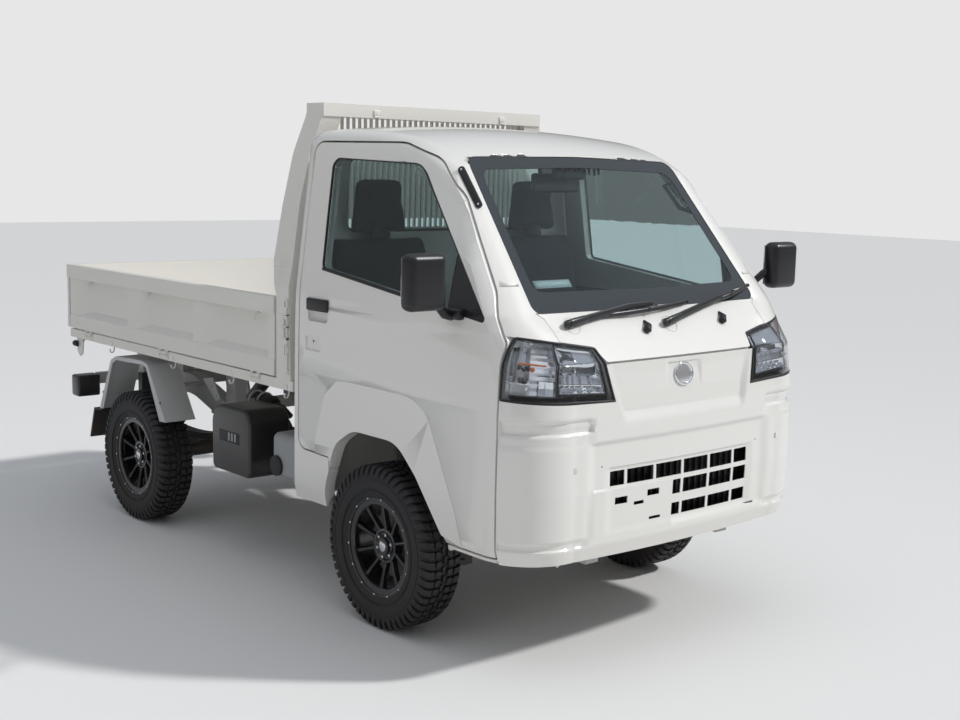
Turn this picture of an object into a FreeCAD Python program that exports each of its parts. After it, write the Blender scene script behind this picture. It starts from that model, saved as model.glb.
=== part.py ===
"""Kei truck: a light cab-over truck with a tipping, drop-sided bed. Millimetres, +Z up.

The front faces -Y and +X is the vehicle's left. The origin is on the ground, at mid length and mid width.
"""
import FreeCAD, Part
import functools
import math
import os

V = FreeCAD.Vector
os.makedirs("parts", exist_ok=True)

# ---- driving dimensions ---------------------------------------------------------------------------------
HALF_LENGTH = 1697.5        # bumper face and tailgate hinge barrels, each from mid length
HALF_WIDTH = 737.5          # door flare, from mid width
FRONT_AXLE_Y = -880.0
WHEELBASE = 1900.0
TYRE_R = 300.0
TYRE_W = 165.0
RIM_R = 178.0
TRACK_X = 645.0             # wheel centre from mid width
KINGPIN_X = 620.0
GUARD_TOP = 1891.0

GAP = 7.0                   # round doors and gates
SEAM = 5.0                  # between fixed body panels
SEAT = 0.3                  # running clearance of pins, hubs and barrels
PANEL = 16.0                # front panels
WALL = 30.0                 # front and rear cab walls
SIDE = 45.0                 # doors and cab sides
ROOF = 28.0
GLASS = 6.0
FLARE = 5.0                 # raised round the wheel arch
CAB_REAR = -365.0

RAIL_X = (310.0, 370.0)     # chassis rails, inner and outer faces
RAIL_SHEET = 6.0
RAIL_LOW = (345.0, 440.0)   # under the cab
RAIL_HIGH = (550.0, 645.0)  # over the rear axle
RAIL_FRONT = -1585.0
RAIL_REAR = 1635.0
KICK = (420.0, 1080.0)      # the rails rise between these

BED_FRONT = -337.0
BED_Z = (790.0, 829.0)      # deck and its side sills
SUB_RAIL_Z = 700.0
GATE_Z = (836.0, 1145.0)
GATE_Y = (-207.0, 1662.5)
GATE_T = 40.0
BARREL_R = 5.5
HINGE_Z = 822.0             # of all three gates
GATE_HINGE_X = HALF_WIDTH - BARREL_R
GATE_OUT = GATE_HINGE_X - 4.5       # outer face of the gate's top rail
BED_HALF = GATE_OUT - 4.5
FLOOR_SHEET = 2.0           # the bed's floor sheet stands this far above its sills
TIP_PIVOT = (1600.0, 700.0)     # y and z of the bed's pivot
TIP_PIN_R = 12.0

REAR_AXLE_Y = FRONT_AXLE_Y + WHEELBASE
DOOR_FRONT = -1520.0        # leading edge, and the hinge line
DOOR_HINGE_X = HALF_WIDTH - 12
DOOR_REAR = -395.0
OPENING_INNER_X = 480.0     # the shell is cut in to here, under the roof's edge
DOOR_INNER_X = 520.0        # and the door's frame reaches in to here
DOOR_NOSE_ROOM = 24.0       # the front corner of the opening, where the door's inner edge swings past


# ---- helpers --------------------------------------------------------------------------------------------
def box(x0, x1, y0, y1, z0, z1):
    return Part.makeBox(x1 - x0, y1 - y0, z1 - z0, V(x0, y0, z0))


def mirrored(shape):
    return shape.mirror(V(0, 0, 0), V(1, 0, 0))


def pair(shape):
    return [shape, mirrored(shape)]


def fused(shapes):
    return shapes[0].multiFuse(shapes[1:]).removeSplitter()


def save(name, *shapes):
    """Write one node as STEP, as all the solids of the shapes given."""
    found = [s for shape in shapes for s in shape.Solids]
    whole = found[0] if len(found) == 1 else Part.makeCompound(found)
    whole.exportStep("parts/" + name + ".step")
    print(name, len(found), "solids", round(sum(s.Volume for s in found) / 1e6, 2), "litres")


def placed(plane, a, b, at=0.0):
    """The point of a plane's own coordinates: 'x' holds (y, z), 'y' holds (x, z), 'z' holds (x, y)."""
    if plane == "x":
        return V(at, a, b)
    if plane == "y":
        return V(a, at, b)
    return V(a, b, at)


def outline(plane, points, at=0.0):
    """A closed face: each point is (a, b) or (a, b, radius), where radius rounds that corner."""
    n = len(points)
    ends = []
    for i, p in enumerate(points):
        here = placed(plane, p[0], p[1], at)
        r = p[2] if len(p) > 2 else 0.0
        if r == 0.0:
            ends.append((here, None, here))
            continue
        before = placed(plane, *points[i - 1][:2], at)
        after = placed(plane, *points[(i + 1) % n][:2], at)
        u, w = (before - here).normalize(), (after - here).normalize()
        half = u.getAngle(w) / 2
        cut = r / math.tan(half)
        middle = (u + w).normalize()
        ends.append((here + u * cut, here + middle * (r / math.sin(half) - r), here + w * cut))
    edges = []
    for i, (start, mid, end) in enumerate(ends):
        if mid is not None:
            edges.append(Part.Arc(start, mid, end).toShape())
        following = ends[(i + 1) % n][0]
        if end.distanceToPoint(following) > 1e-6:
            edges.append(Part.makeLine(end, following))
    return Part.Face(Part.Wire(edges))


def prism(plane, points, low, high, grow=0.0):
    """An outline grown by a margin and extruded between two places on its plane's axis."""
    face = outline(plane, points, low)
    if grow:
        face = face.makeOffset2D(grow)
    way = {"x": V(1, 0, 0), "y": V(0, 1, 0), "z": V(0, 0, 1)}[plane]
    return face.extrude(way * (high - low))


def rod(start, end, r):
    start, end = V(*start), V(*end)
    return Part.makeCylinder(r, start.distanceToPoint(end), start, end - start)


def pipe(start, end, r, wall):
    return rod(start, end, r).cut(rod(start, end, r - wall))


# ---- cab volume -----------------------------------------------------------------------------------------
# Plan sections: height, nose at mid width, start of the corner (x, y), end of the corner (x, y), rear half width
CAB_LEVELS = (
    (388, -1676, 500, -1652, 722, -1470, 722),
    (440, -1692, 515, -1668, 732, -1485, 732),
    (620, -1697.5, 520, -1676, 732.5, -1490, 732.5),
    (884, -1692, 520, -1670, 732.5, -1490, 732.5),
    (1036, -1665.5, 490, -1652, 731, -1488, 731),
    (1135, -1572, 500, -1564, 724, -1472, 729),
    (1190, -1517, 560, -1512, 718, -1440, 726),
    (1860, -962, 507, -958, 568, -940, 645),
)
# Roof sections: place along the cab, crown height, half width where the shoulder starts
ROOF_SECTIONS = (
    (-1420, 1500, 612),
    (-1250, 1602, 612),
    (-1090, 1706, 620),
    (-850, 1788, 625),
    (-600, 1812, 642),
    (-300, 1793, 668),
)
BELT_Z = 1190.0             # the sides lean inwards above this
CORNER = math.sqrt(0.5)     # an ellipse's quarter passes here between its ends


def cab_section(z, y_mid, x_corner, y_corner, x_side, y_side, x_rear, front, side, rear):
    """One plan section, moved inwards by the three wall thicknesses."""
    y_mid, y_corner, y_side = y_mid + front, y_corner + front, y_side + front
    x_side, x_rear, x_corner = x_side - side, x_rear - side, x_corner - side * 0.6
    y_rear = CAB_REAR - rear
    x_turn = x_corner + (x_side - x_corner) * CORNER
    y_turn = y_side + (y_corner - y_side) * CORNER
    p = [V(-x_corner, y_corner, z), V(x_corner, y_corner, z), V(x_side, y_side, z),
         V(x_rear, y_rear, z), V(-x_rear, y_rear, z), V(-x_side, y_side, z)]
    edges = [
        Part.Arc(p[0], V(0, y_mid, z), p[1]).toShape(),
        Part.Arc(p[1], V(x_turn, y_turn, z), p[2]).toShape(),
        Part.makeLine(p[2], p[3]),
        Part.makeLine(p[3], p[4]),
        Part.makeLine(p[4], p[5]),
        Part.Arc(p[5], V(-x_turn, y_turn, z), p[0]).toShape(),
    ]
    return Part.Wire(edges)


def roof_section(y, z_top, x_side, side, drop):
    """A section across the cab: upright sides, a rounded shoulder and a slightly crowned roof."""
    z, x = z_top - drop, x_side - side

    def at(px, pz):
        return V(px, y, pz)

    right = [at(800, 300), at(800, BELT_Z), at(x, z - 107), at(x - 23, z - 55), at(x - 88, z - 25)]
    left = [V(-p.x, p.y, p.z) for p in right]
    edges = [
        Part.makeLine(right[0], right[1]),
        Part.makeLine(right[1], right[2]),
        Part.Arc(right[2], right[3], right[4]).toShape(),
        Part.Arc(right[4], at(0, z), left[4]).toShape(),
        Part.Arc(left[4], left[3], left[2]).toShape(),
        Part.makeLine(left[2], left[1]),
        Part.makeLine(left[1], left[0]),
        Part.makeLine(left[0], right[0]),
    ]
    return Part.Wire(edges)


@functools.lru_cache(maxsize=None)
def cab_volume(front=0.0, side=0.0, rear=0.0, drop=0.0):
    """The cab as one solid, moved in from its outer faces by the four thicknesses."""
    sections = [cab_section(*level, front, side, rear) for level in CAB_LEVELS]
    lower = Part.makeLoft(sections, True, True)
    stations = [roof_section(*row, side, drop) for row in ROOF_SECTIONS]
    nose = box(-900, 900, -1900, ROOF_SECTIONS[0][0] + 1, 200, ROOF_SECTIONS[0][1] - 20)
    upper = Part.makeLoft(stations, True, False)
    return lower.common(upper.fuse(nose))


# ---- cab panels: outlines seen from the side hold (y, z), from the front (x, z) ------------------------
LEADING_EDGE = [             # the door's front edge, from its foot up the pillar to the roof rail
    (DOOR_FRONT, 413), (DOOR_FRONT, 1105, 40), (-1428, 1259, 300), (-1188, 1564, 300), (-1052, 1681, 200),
    (-860, 1736, 200),
]
DOOR_EDGE = LEADING_EDGE + [(DOOR_REAR, 1738, 45), (DOOR_REAR, 590, 45), (-600, 585), (-600, 413)]
ARCH_EDGE = [
    (-568, 300), (-570, 470, 200), (-640, 640, 120), (-750, 708, 150), (-1010, 708, 150), (-1120, 610, 200),
    (-1290, 405), (-1290, 300),
]
FLARE_EDGE = [
    (-512, 588), (-512, 641, 60), (-590, 868, 90), (-700, 880), (-1090, 880, 90), (-1180, 830, 60),
    (-1335, 520), (-1370, 413),
]
WINDOW_EDGE = [(-515, 1276, 25), (-502, 1684, 40), (-985, 1668, 90), (-1462, 1163, 12)]
DIVIDER_Y = -1262.0
WINDSHIELD_EDGE = [(-567, 1192, 30), (0, 1188), (567, 1192, 30), (519, 1692, 45), (0, 1704), (-519, 1692, 45)]
REAR_WINDOW_EDGE = [(-520, 1400, 45), (520, 1400, 45), (500, 1690, 45), (-500, 1690, 45)]
HOOD_EDGE = [(-372, 1038, 15), (372, 1038, 15), (396, 1085), (529, 1107, 8), (536, 1176), (560, 1195),
             (-560, 1195), (-536, 1176), (-529, 1107, 8), (-396, 1085)]
LAMP_EDGE = [(350, 913, 12), (396, 1083, 15), (780, 1146), (780, 932)]
PILLAR_SEAM_Z = 1278.0
GRILLE_ROWS = ((487, 530), (561, 612), (628, 678))      # the top row runs the whole way across
GRILLE_BARS = (-363, -285, -147, -7, 134, 272, 359)
BAR_HALF = 6.0
PLATE_PANEL_X = -60.0       # the lower rows start here, beside the panel for the number plate


def front_zone(grow=0.0):
    """Everything ahead of the doors' leading edge and below the pillar seam."""
    face = outline("x", DOOR_EDGE, -900).makeOffset2D(GAP + 1)
    ahead = prism("x", [(-1900, 300), (-1300, 300), (-1300, PILLAR_SEAM_Z), (-1900, PILLAR_SEAM_Z)], -900, 900)
    return ahead.cut(face.extrude(V(1800, 0, 0)))


def grille_slots():
    """Each opening of the grille, as its low and high x and its low and high z."""
    for low, high in GRILLE_ROWS:
        for x0, x1 in zip(GRILLE_BARS, GRILLE_BARS[1:]):
            if high < GRILLE_ROWS[-1][1]:
                x0 = max(x0, PLATE_PANEL_X)
            if x1 - x0 > 4 * BAR_HALF:
                yield x0 + BAR_HALF, x1 - BAR_HALF, low, high


STRIKER = (HALF_WIDTH - 37.5, HALF_WIDTH - 23.5, 1050.0, 1066.0)    # on the door post: x, then z
LATCH_GAP = 0.8             # from the striker to the door's rear edge


def make_cab():
    outer = cab_volume()
    inner = cab_volume(WALL, SIDE, WALL, ROOF)
    shell = outer.cut(inner)
    skin = outer.cut(cab_volume(PANEL, PANEL, PANEL, PANEL))
    zone = front_zone()
    panels = skin.common(zone)

    # headlamps, seen from the front, as deep as their reflectors
    lamp_zone = prism("y", LAMP_EDGE, -1800, DOOR_FRONT - GAP, -SEAM / 2)
    lamp_void = cab_volume(80, 62, WALL, ROOF)
    lamp_right = outer.cut(lamp_void).common(lamp_zone)
    lamps = pair(lamp_right)
    hood_zone = prism("y", HOOD_EDGE, -1800, -1300)
    lamp_zones = pair(prism("y", LAMP_EDGE, -1800, -1300))

    # bumper fascia: below the lamps and the hood, with its grille openings
    low = [(-900, 300), (900, 300), (900, 932), (780, 932), (350, 913), (394, 1080), (372, 1038), (-372, 1038),
           (-394, 1080), (-350, 913), (-780, 932), (-900, 932)]
    bumper_zone = prism("y", low, -1800, -1300, -SEAM / 2)
    bumper = panels.common(bumper_zone)
    for zone_cut in lamp_zones + [hood_zone]:
        bumper = bumper.cut(zone_cut)
    for x0, x1, low_z, high_z in grille_slots():
        bumper = bumper.cut(box(x0, x1, -1800, -1600, low_z, high_z))

    glass_zone = prism("y", WINDSHIELD_EDGE, -1800, -900)
    hood = panels.common(prism("y", HOOD_EDGE, -1800, -1300, -SEAM / 2)).cut(glass_zone)
    above = panels.cut(prism("y", low, -1800, -1300)).cut(glass_zone)
    for zone_cut in lamp_zones + [hood_zone, box(-500, 500, -1900, -1300, 200, 1200)]:
        above = above.cut(zone_cut)
    fenders = [s for s in above.Solids if s.Volume > 1e4]

    # fixed shell: what the doors, panels and glass leave
    shell = shell.cut(panels)
    for lamp in lamps:
        shell = shell.cut(lamp)
    door_reach = rod((DOOR_HINGE_X, DOOR_FRONT, 300), (DOOR_HINGE_X, DOOR_FRONT, 1900), DOOR_REAR - DOOR_FRONT)
    door_room = rod((DOOR_HINGE_X, DOOR_FRONT, 300), (DOOR_HINGE_X, DOOR_FRONT, 1900),
                    DOOR_REAR - DOOR_FRONT + GAP)
    arch = prism("x", ARCH_EDGE, 560, 900)
    door_zone = prism("x", DOOR_EDGE, DOOR_INNER_X, 900)
    inside = cab_volume(DOOR_NOSE_ROOM, SIDE + GAP, 0, ROOF + GAP)
    opening = prism("x", DOOR_EDGE, OPENING_INNER_X, 900, GAP).common(door_room).cut(inside)
    for cut in (opening, arch):
        shell = shell.cut(cut).cut(mirrored(cut))

    # windshield on its flange
    glass_face = cab_volume(3, 3, WALL, 3)
    glass_back = cab_volume(3 + GLASS, 3 + GLASS, WALL, 3 + GLASS)
    windshield = glass_face.cut(glass_back).common(prism("y", WINDSHIELD_EDGE, -1800, -900, -1.0))
    windshield = max(windshield.Solids, key=lambda s: s.Volume)
    shell = shell.cut(outer.cut(glass_back).common(glass_zone))
    shell = shell.cut(prism("y", WINDSHIELD_EDGE, -1800, -900, -18.0))

    # rear window
    rear_zone = prism("y", REAR_WINDOW_EDGE, CAB_REAR - 60, CAB_REAR + 20)
    shell = shell.cut(rear_zone)
    rear_window = prism("y", REAR_WINDOW_EDGE, CAB_REAR - 18, CAB_REAR - 18 + GLASS)

    # doors
    leaf = outer.cut(cab_volume(0, SIDE, 0, ROOF)).common(door_zone).common(door_reach).cut(arch)
    flare = cab_volume(0, -FLARE).common(prism("x", FLARE_EDGE, 715, 900)).common(door_zone)
    flare = flare.cut(arch).cut(outer).common(door_reach)
    leaf = fused([max(leaf.Solids, key=lambda s: s.Volume)] + flare.Solids)
    window = prism("x", WINDOW_EDGE, 400, 900)
    pane_layer = cab_volume(0, 14).cut(cab_volume(0, 14 + GLASS))
    in_window = pane_layer.common(window).common(box(400, 900, -1700, -300, 300, 1900))
    glass = in_window.cut(box(400, 900, -1700, DIVIDER_Y, 300, 1900))
    sail_layer = cab_volume(0, 8).cut(cab_volume(0, 30))
    sail = sail_layer.common(window).common(box(400, 900, -1700, DIVIDER_Y, 300, 1900))
    leaf = leaf.cut(window)
    glass = max(glass.Solids, key=lambda s: s.Volume)
    sail = max(sail.Solids, key=lambda s: s.Volume)
    x0, x1, z0, z1 = STRIKER
    striker = box(x0, x1, DOOR_REAR + LATCH_GAP, DOOR_REAR + GAP + 2, z0, z1)
    shell = fused([shell, striker, mirrored(striker)])
    return {
        "shell": shell, "bumper": bumper, "hood": hood, "fenders": fenders, "lamps": lamps,
        "windshield": windshield, "rear_window": rear_window, "door": leaf, "glass": glass, "sail": sail,
        "opening": opening,
    }


# ---- cab floor, wheel houses and seat box ---------------------------------------------------------------
FLOOR_Z = (RAIL_LOW[1], RAIL_LOW[1] + 22)
WELL_X = 382.0
WELL_Y = (FRONT_AXLE_Y - 345, FRONT_AXLE_Y + 335)
WELL_TOP = 700.0
SHEET = 10.0
SEAT_BOX_Y = -1060.0
CAB_INSIDE = 684.0          # half width between the doors' inner faces, less their clearance


def make_floor(opening):
    well = box(WELL_X, 1000, *WELL_Y, 200, WELL_TOP)
    house = box(WELL_X - SHEET, CAB_INSIDE, WELL_Y[0] - SHEET, WELL_Y[1] + SHEET, FLOOR_Z[0], WELL_TOP + SHEET)
    floor = box(-CAB_INSIDE, CAB_INSIDE, -1650, CAB_REAR - WALL + 5, *FLOOR_Z)
    seat_box = box(-WELL_X, WELL_X, SEAT_BOX_Y, CAB_REAR - WALL + 5, FLOOR_Z[0], WELL_TOP + SHEET)
    seat_box = seat_box.cut(box(-WELL_X - 1, WELL_X + 1, SEAT_BOX_Y + SHEET, 0, 0, WELL_TOP))
    rear_wall = box(-CAB_INSIDE, CAB_INSIDE, CAB_REAR - WALL - 5, CAB_REAR - WALL + 5, FLOOR_Z[0], WELL_TOP + 5)
    under_seat = box(-WELL_X, WELL_X, SEAT_BOX_Y + SHEET, CAB_REAR - WALL - 5, 300, WELL_TOP)
    ends = [box(a, b, WELL_Y[1], CAB_REAR - WALL + 5, FLOOR_Z[0], WELL_TOP + SHEET).cut(
        box(a - 1, b + 1, WELL_Y[1] - 1, CAB_REAR - WALL - 5, 300, WELL_TOP))
        for a, b in ((WELL_X - SHEET, CAB_INSIDE), (-CAB_INSIDE, SHEET - WELL_X))]
    body = fused([floor, seat_box, rear_wall] + pair(house) + ends)
    for cut in pair(well) + [under_seat]:
        body = body.cut(cut)
    body = body.common(cab_volume(PANEL + 2, PANEL + 2, 1, 1))
    for gap in pair(opening):
        body = body.cut(gap)
    return body


TUNNEL = box(-130, 130, -460, -300, 300, 585)       # the gearbox passes out under the rear wall
cab = make_cab()
floor = make_floor(cab["opening"])
cab_shell = cab["shell"]
for room in pair(box(RAIL_X[0] - 8, RAIL_X[1] + 8, -1700, -300, 300, RAIL_LOW[1])) + [TUNNEL]:
    cab_shell = cab_shell.cut(room)
    floor = floor.cut(room)
cab_shell = max(cab_shell.Solids, key=lambda s: s.Volume)
floor = floor.cut(cab_shell)
save("cab_shell", cab_shell)
save("cab_floor", max(floor.Solids, key=lambda s: s.Volume))
save("front_bumper", cab["bumper"])
save("hood", cab["hood"])
save("front_fenders", *cab["fenders"])
save("headlamps", *cab["lamps"])
save("windshield", cab["windshield"])
save("rear_window", cab["rear_window"])
save("door_left", cab["door"])
save("door_right", mirrored(cab["door"]))
save("door_glass_left", cab["glass"])
save("door_glass_right", mirrored(cab["glass"]))


# ---- mirrors, wipers and interior -----------------------------------------------------------------------
MIRROR_X = (832, 985)
MIRROR_Y = (-1398, -1332)
MIRROR_Z = (1213, 1390)


def make_mirror(sail):
    head = box(*MIRROR_X, *MIRROR_Y, *MIRROR_Z)
    head = head.makeFillet(24, head.Edges)
    arm = rod((690, -1365, 1270), (860, -1365, 1290), 13)
    arm = arm.cut(cab_volume(0, 10))
    return fused([head, arm, sail])


WIPERS = (      # pivot x and z, arm end, blade's two ends, along the foot of the windshield
    (-446, 1155, (-70, 1184), (-290, 1176), (259, 1200)),
    (60, 1152, (345, 1190), (150, 1180), (630, 1228)),
)


def glass_y(z):
    """The windshield's outer face at mid width."""
    low, high = CAB_LEVELS[-2], CAB_LEVELS[-1]
    return low[1] + (z - low[0]) * (high[1] - low[1]) / (high[0] - low[0])


def make_wipers(body):
    made = []
    for x, z, (ax, az), (bx, bz), (cx, cz) in WIPERS:
        y = glass_y(z) - 38
        parts = [
            rod((x, y - 6, z), (x, y + 60, z), 11),
            rod((x, y, z), (ax, glass_y(az) - 18, az), 6),
            rod((bx, glass_y(bz) - 12, bz), (cx, glass_y(cz) - 12, cz), 6),
            rod((ax, glass_y(az) - 18, az), (ax, glass_y(az) - 8, az), 6),
        ]
        made.append(fused(parts).cut(body))
    return [max(m.Solids, key=lambda s: s.Volume) for m in made]


DRIVER_X = -400.0
WHEEL_CENTRE = (DRIVER_X, -1105.0, 1060.0)
WHEEL_TILT = (0.0, 0.55, 0.835)
HAND_R = 183.0


def along(t):
    """A point on the steering column, at a distance from the hand wheel's centre."""
    return tuple(c + n * t for c, n in zip(WHEEL_CENTRE, WHEEL_TILT))


def make_hand_wheel():
    axis = V(*WHEEL_TILT)
    rim = Part.makeTorus(HAND_R, 14, V(*WHEEL_CENTRE), axis)
    hub = rod(along(-60), along(-8), 42)
    spokes = []
    for x, y in ((1, 0), (-1, 0), (0, 1)):
        across = V(x, 0, 0) if x else axis.cross(V(1, 0, 0))
        end = V(*WHEEL_CENTRE) + across * HAND_R
        start = V(*along(-30))
        spokes.append(rod(tuple(start), tuple(end), 9))
    return fused([rim, hub] + spokes)


def make_dashboard(inner):
    section = [(-1505, 1128), (-1290, 1140, 30), (-1235, 1080, 40), (-1245, 860, 40), (-1330, 800, 20), (-1505, 800)]
    body = prism("x", section, -640, 640)
    core = box(-280, 280, -1660, -1500, 860, 1060)
    column = rod(along(-60 - SEAT), along(-330), 34)
    whole = fused([body, core]).common(inner)
    return fused([max(whole.Solids, key=lambda s: s.Volume), column])


SEAT_Z = WELL_TOP + SHEET


def make_seat(x):
    cushion = box(x - 235, x + 235, -985, -505, SEAT_Z + SEAT, SEAT_Z + 112)
    cushion = cushion.makeFillet(26, [e for e in cushion.Edges if e.BoundBox.ZMin > SEAT_Z + 100])
    back = prism("x", [(-600, 824), (-480, 824), (-404, 1180), (-404, 1400), (-470, 1400), (-500, 1300)],
                 x - 235, x + 235)
    back = back.common(prism("y", [(x - 235, 824), (x + 235, 824), (x + 235, 1280, 90), (x + 130, 1400),
                                   (x - 130, 1400), (x - 235, 1280, 90)], -700, -300))
    head = prism("y", [(x - 135, 1390), (x + 135, 1390), (x + 105, 1615, 70), (x - 105, 1615, 70)], -484, -404)
    return fused([cushion, box(x - 150, x + 150, -600, -500, SEAT_Z + 60, 900), back, head])


hand_wheel = make_hand_wheel()
mirror = make_mirror(cab["sail"]).cut(cab["door"])
save("mirror_left", mirror)
save("mirror_right", mirrored(mirror))
save("wipers", *make_wipers(cab_volume()))
save("steering_wheel", hand_wheel)
save("dashboard", make_dashboard(cab_volume(WALL, SIDE + 12, WALL, ROOF)))
save("seats", make_seat(DRIVER_X), make_seat(-DRIVER_X))


# ---- chassis --------------------------------------------------------------------------------------------
HOIST_BAR_Y = 1275.0
CROSS_MEMBERS = (       # y, width, low z, high z
    (-1575, 60, 355, 430), (-985, 60, 345, 400), (-520, 60, 345, 400), (330, 60, 424, 434),
    (860, 60, 480, 530), (HOIST_BAR_Y, 60, 560, 638),
    (1560, 60, 560, 638),
)
WEB_X = RAIL_X[1] - RAIL_SHEET
PADS = ((-230, -150), (690, 770), (1180, 1260))     # the bed's rests on the rails


def rail_top(y):
    """Height of a rail's top edge."""
    if y <= KICK[0]:
        return RAIL_LOW[1]
    if y >= KICK[1]:
        return RAIL_HIGH[1]
    return RAIL_LOW[1] + (y - KICK[0]) / (KICK[1] - KICK[0]) * (RAIL_HIGH[1] - RAIL_LOW[1])


HOIST_FOOT = (1250.0, 400.0)        # y and z of the barrel's pivot
HOIST_EYE = (850.0, 740.0)          # y and z of the rod's eye at rest
HOIST_PIN_R = 12.0
BARREL_OUT_R = 33.0
HOIST_ROD_R = 20.0


def make_rail():
    """The left rail: a channel open inwards, with the bed's rests and the ear of its pivot."""
    side = [
        (RAIL_FRONT, RAIL_LOW[0]), (KICK[0], RAIL_LOW[0], 300), (KICK[1], RAIL_HIGH[0], 300), (RAIL_REAR, RAIL_HIGH[0]),
        (RAIL_REAR, RAIL_HIGH[1]), (KICK[1], RAIL_HIGH[1], 300), (KICK[0], RAIL_LOW[1], 300),
        (RAIL_FRONT, RAIL_LOW[1]),
    ]
    channel = prism("x", side, RAIL_X[0] - 5, WEB_X, -RAIL_SHEET)
    pieces = [prism("x", side, *RAIL_X).cut(channel)]
    for y0, y1 in PADS:
        pieces.append(box(RAIL_X[0] + 2, RAIL_X[1], y0, y1, rail_top(y0) - 5, SUB_RAIL_Z - 0.5))
    y, z = TIP_PIVOT
    outside, inside = RAIL_X[1] + 4, RAIL_X[0] - 4
    ear = prism("x", [(y - 35, RAIL_HIGH[0] + 20), (y + 30, RAIL_HIGH[0] + 20), (y + 30, z + 26, 26),
                      (y - 30, z + 26, 26)], outside, outside + 12)
    pieces += [ear, box(RAIL_X[1] - 2, outside + 12, y - 35, y + 30, RAIL_HIGH[0] + 20, RAIL_HIGH[1] - 10)]
    pieces.append(rod((inside - 4, y, z), (outside + 12, y, z), TIP_PIN_R))
    return fused(pieces)


def make_cross_members(rails):
    """Bars between the rails' webs; the one ahead of the rear axle's travel carries the hoist's foot."""
    bars = [box(-WEB_X, WEB_X, y0, y0 + wide, z0, z1) for y0, wide, z0, z1 in CROSS_MEMBERS]
    for rail in rails:
        bars = [bar.cut(rail) for bar in bars]
    y, z = HOIST_FOOT
    near, far = BARREL_OUT_R + 5, BARREL_OUT_R + 17
    ear = prism("x", [(y - 26, z + 30, 20), (y - 26, z - 26, 25), (y + 26, z - 26, 25), (HOIST_BAR_Y + 60, 575),
                      (HOIST_BAR_Y, 575)], near, far)
    carrier = [bar for bar in bars if bar.BoundBox.YMin < HOIST_BAR_Y + 1 < bar.BoundBox.YMax][0]
    others = [bar for bar in bars if not bar.isSame(carrier)]
    return others + [fused([carrier] + pair(ear) + [rod((-far, y, z), (far, y, z), HOIST_PIN_R)])]


ENGINE = (-210, 210, -965, -480, 400, 655)
ARM_Z = (190, 212)
PIN_R = 10.0


def make_front_suspension():
    pin = (KINGPIN_X, FRONT_AXLE_Y)
    drop = box(RAIL_X[0] + 5, RAIL_X[1] + 4, FRONT_AXLE_Y - 60, FRONT_AXLE_Y + 60, ARM_Z[0] - 6, RAIL_LOW[0])
    arm = prism("z", [(360, -960), (360, -800), (KINGPIN_X - 10, -858), (KINGPIN_X - 10, -902)], *ARM_Z)
    boss = rod((*pin, ARM_Z[0] - 8), (*pin, ARM_Z[1]), 15)
    ball = rod((*pin, ARM_Z[0]), (*pin, ARM_Z[1] + 26), PIN_R)
    return fused([drop, arm, boss, ball])


STRUT_X = 500.0


def make_strut():
    y = FRONT_AXLE_Y
    return fused([
        rod((STRUT_X, y, 330), (STRUT_X, y, WELL_TOP - 5), 23),
        rod((STRUT_X, y, 628), (STRUT_X, y, WELL_TOP - SEAT), 52),
        rod((STRUT_X, y, 612), (STRUT_X, y, 628), 62),
    ])


HUB_FACE = 652.0
SPINDLE_R = 20.0


def make_knuckle():
    """The left steered hub: lug on the lower pin, hub, disc and the spindle that carries the wheel."""
    pin = (KINGPIN_X, FRONT_AXLE_Y)
    lug_z = ARM_Z[1] + SEAT
    lug = rod((*pin, lug_z), (*pin, lug_z + 30), 26)
    leg = box(KINGPIN_X - 26, KINGPIN_X + 14, FRONT_AXLE_Y - 22, FRONT_AXLE_Y + 22, lug_z, TYRE_R)
    top = box(KINGPIN_X - 84, KINGPIN_X + 10, FRONT_AXLE_Y - 20, FRONT_AXLE_Y + 20, TYRE_R + 35, 385)
    hub = rod((KINGPIN_X - 30, FRONT_AXLE_Y, TYRE_R), (HUB_FACE, FRONT_AXLE_Y, TYRE_R), 50)
    disc = rod((HUB_FACE - 16, FRONT_AXLE_Y, TYRE_R), (HUB_FACE - 6, FRONT_AXLE_Y, TYRE_R), 120)
    spindle = rod((HUB_FACE, FRONT_AXLE_Y, TYRE_R), (HUB_FACE + 34, FRONT_AXLE_Y, TYRE_R), SPINDLE_R)
    body = fused([lug, leg, top, hub, disc, spindle])
    return body.cut(rod((*pin, lug_z - 5), (*pin, lug_z + 27), PIN_R + SEAT))


def make_rear_axle():
    y, z = REAR_AXLE_Y, TYRE_R
    parts = [rod((-HUB_FACE, y, z), (HUB_FACE, y, z), 38), rod((-95, y, z), (95, y, z), 112)]
    for side in (-1, 1):
        parts.append(rod((side * 582, y, z), (side * HUB_FACE, y, z), 118))
        parts.append(rod((side * HUB_FACE, y, z), (side * (HUB_FACE + 34), y, z), SPINDLE_R))
    return fused(parts)


SPRING_X = (400.0, 460.0)


def make_spring():
    y, z = REAR_AXLE_Y, TYRE_R + 38
    leaf = prism("x", [(y - 480, 425), (y - 480, 455), (y, z + 42, 1400), (y + 470, 455),
                       (y + 470, 425), (y, z + 12, 1400)], *SPRING_X)
    seat = box(SPRING_X[0] + 3, SPRING_X[1] - 3, y - 55, y + 55, z - 5, z + 60)
    seat = seat.cut(rod((0, y, TYRE_R), (900, y, TYRE_R), 38))
    front = box(RAIL_X[1], SPRING_X[1], y - 480, y - 430, 385, 440)
    front_up = box(RAIL_X[1], RAIL_X[1] + 10, y - 500, y - 420, 385, 500)
    rear = box(SPRING_X[0] + 5, SPRING_X[1] - 5, y + 425, y + 465, 430, 600)
    rear_in = box(RAIL_X[1], SPRING_X[1] - 5, y + 425, y + 465, 575, 610)
    return fused([leaf, seat, front, front_up, rear, rear_in])


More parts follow.
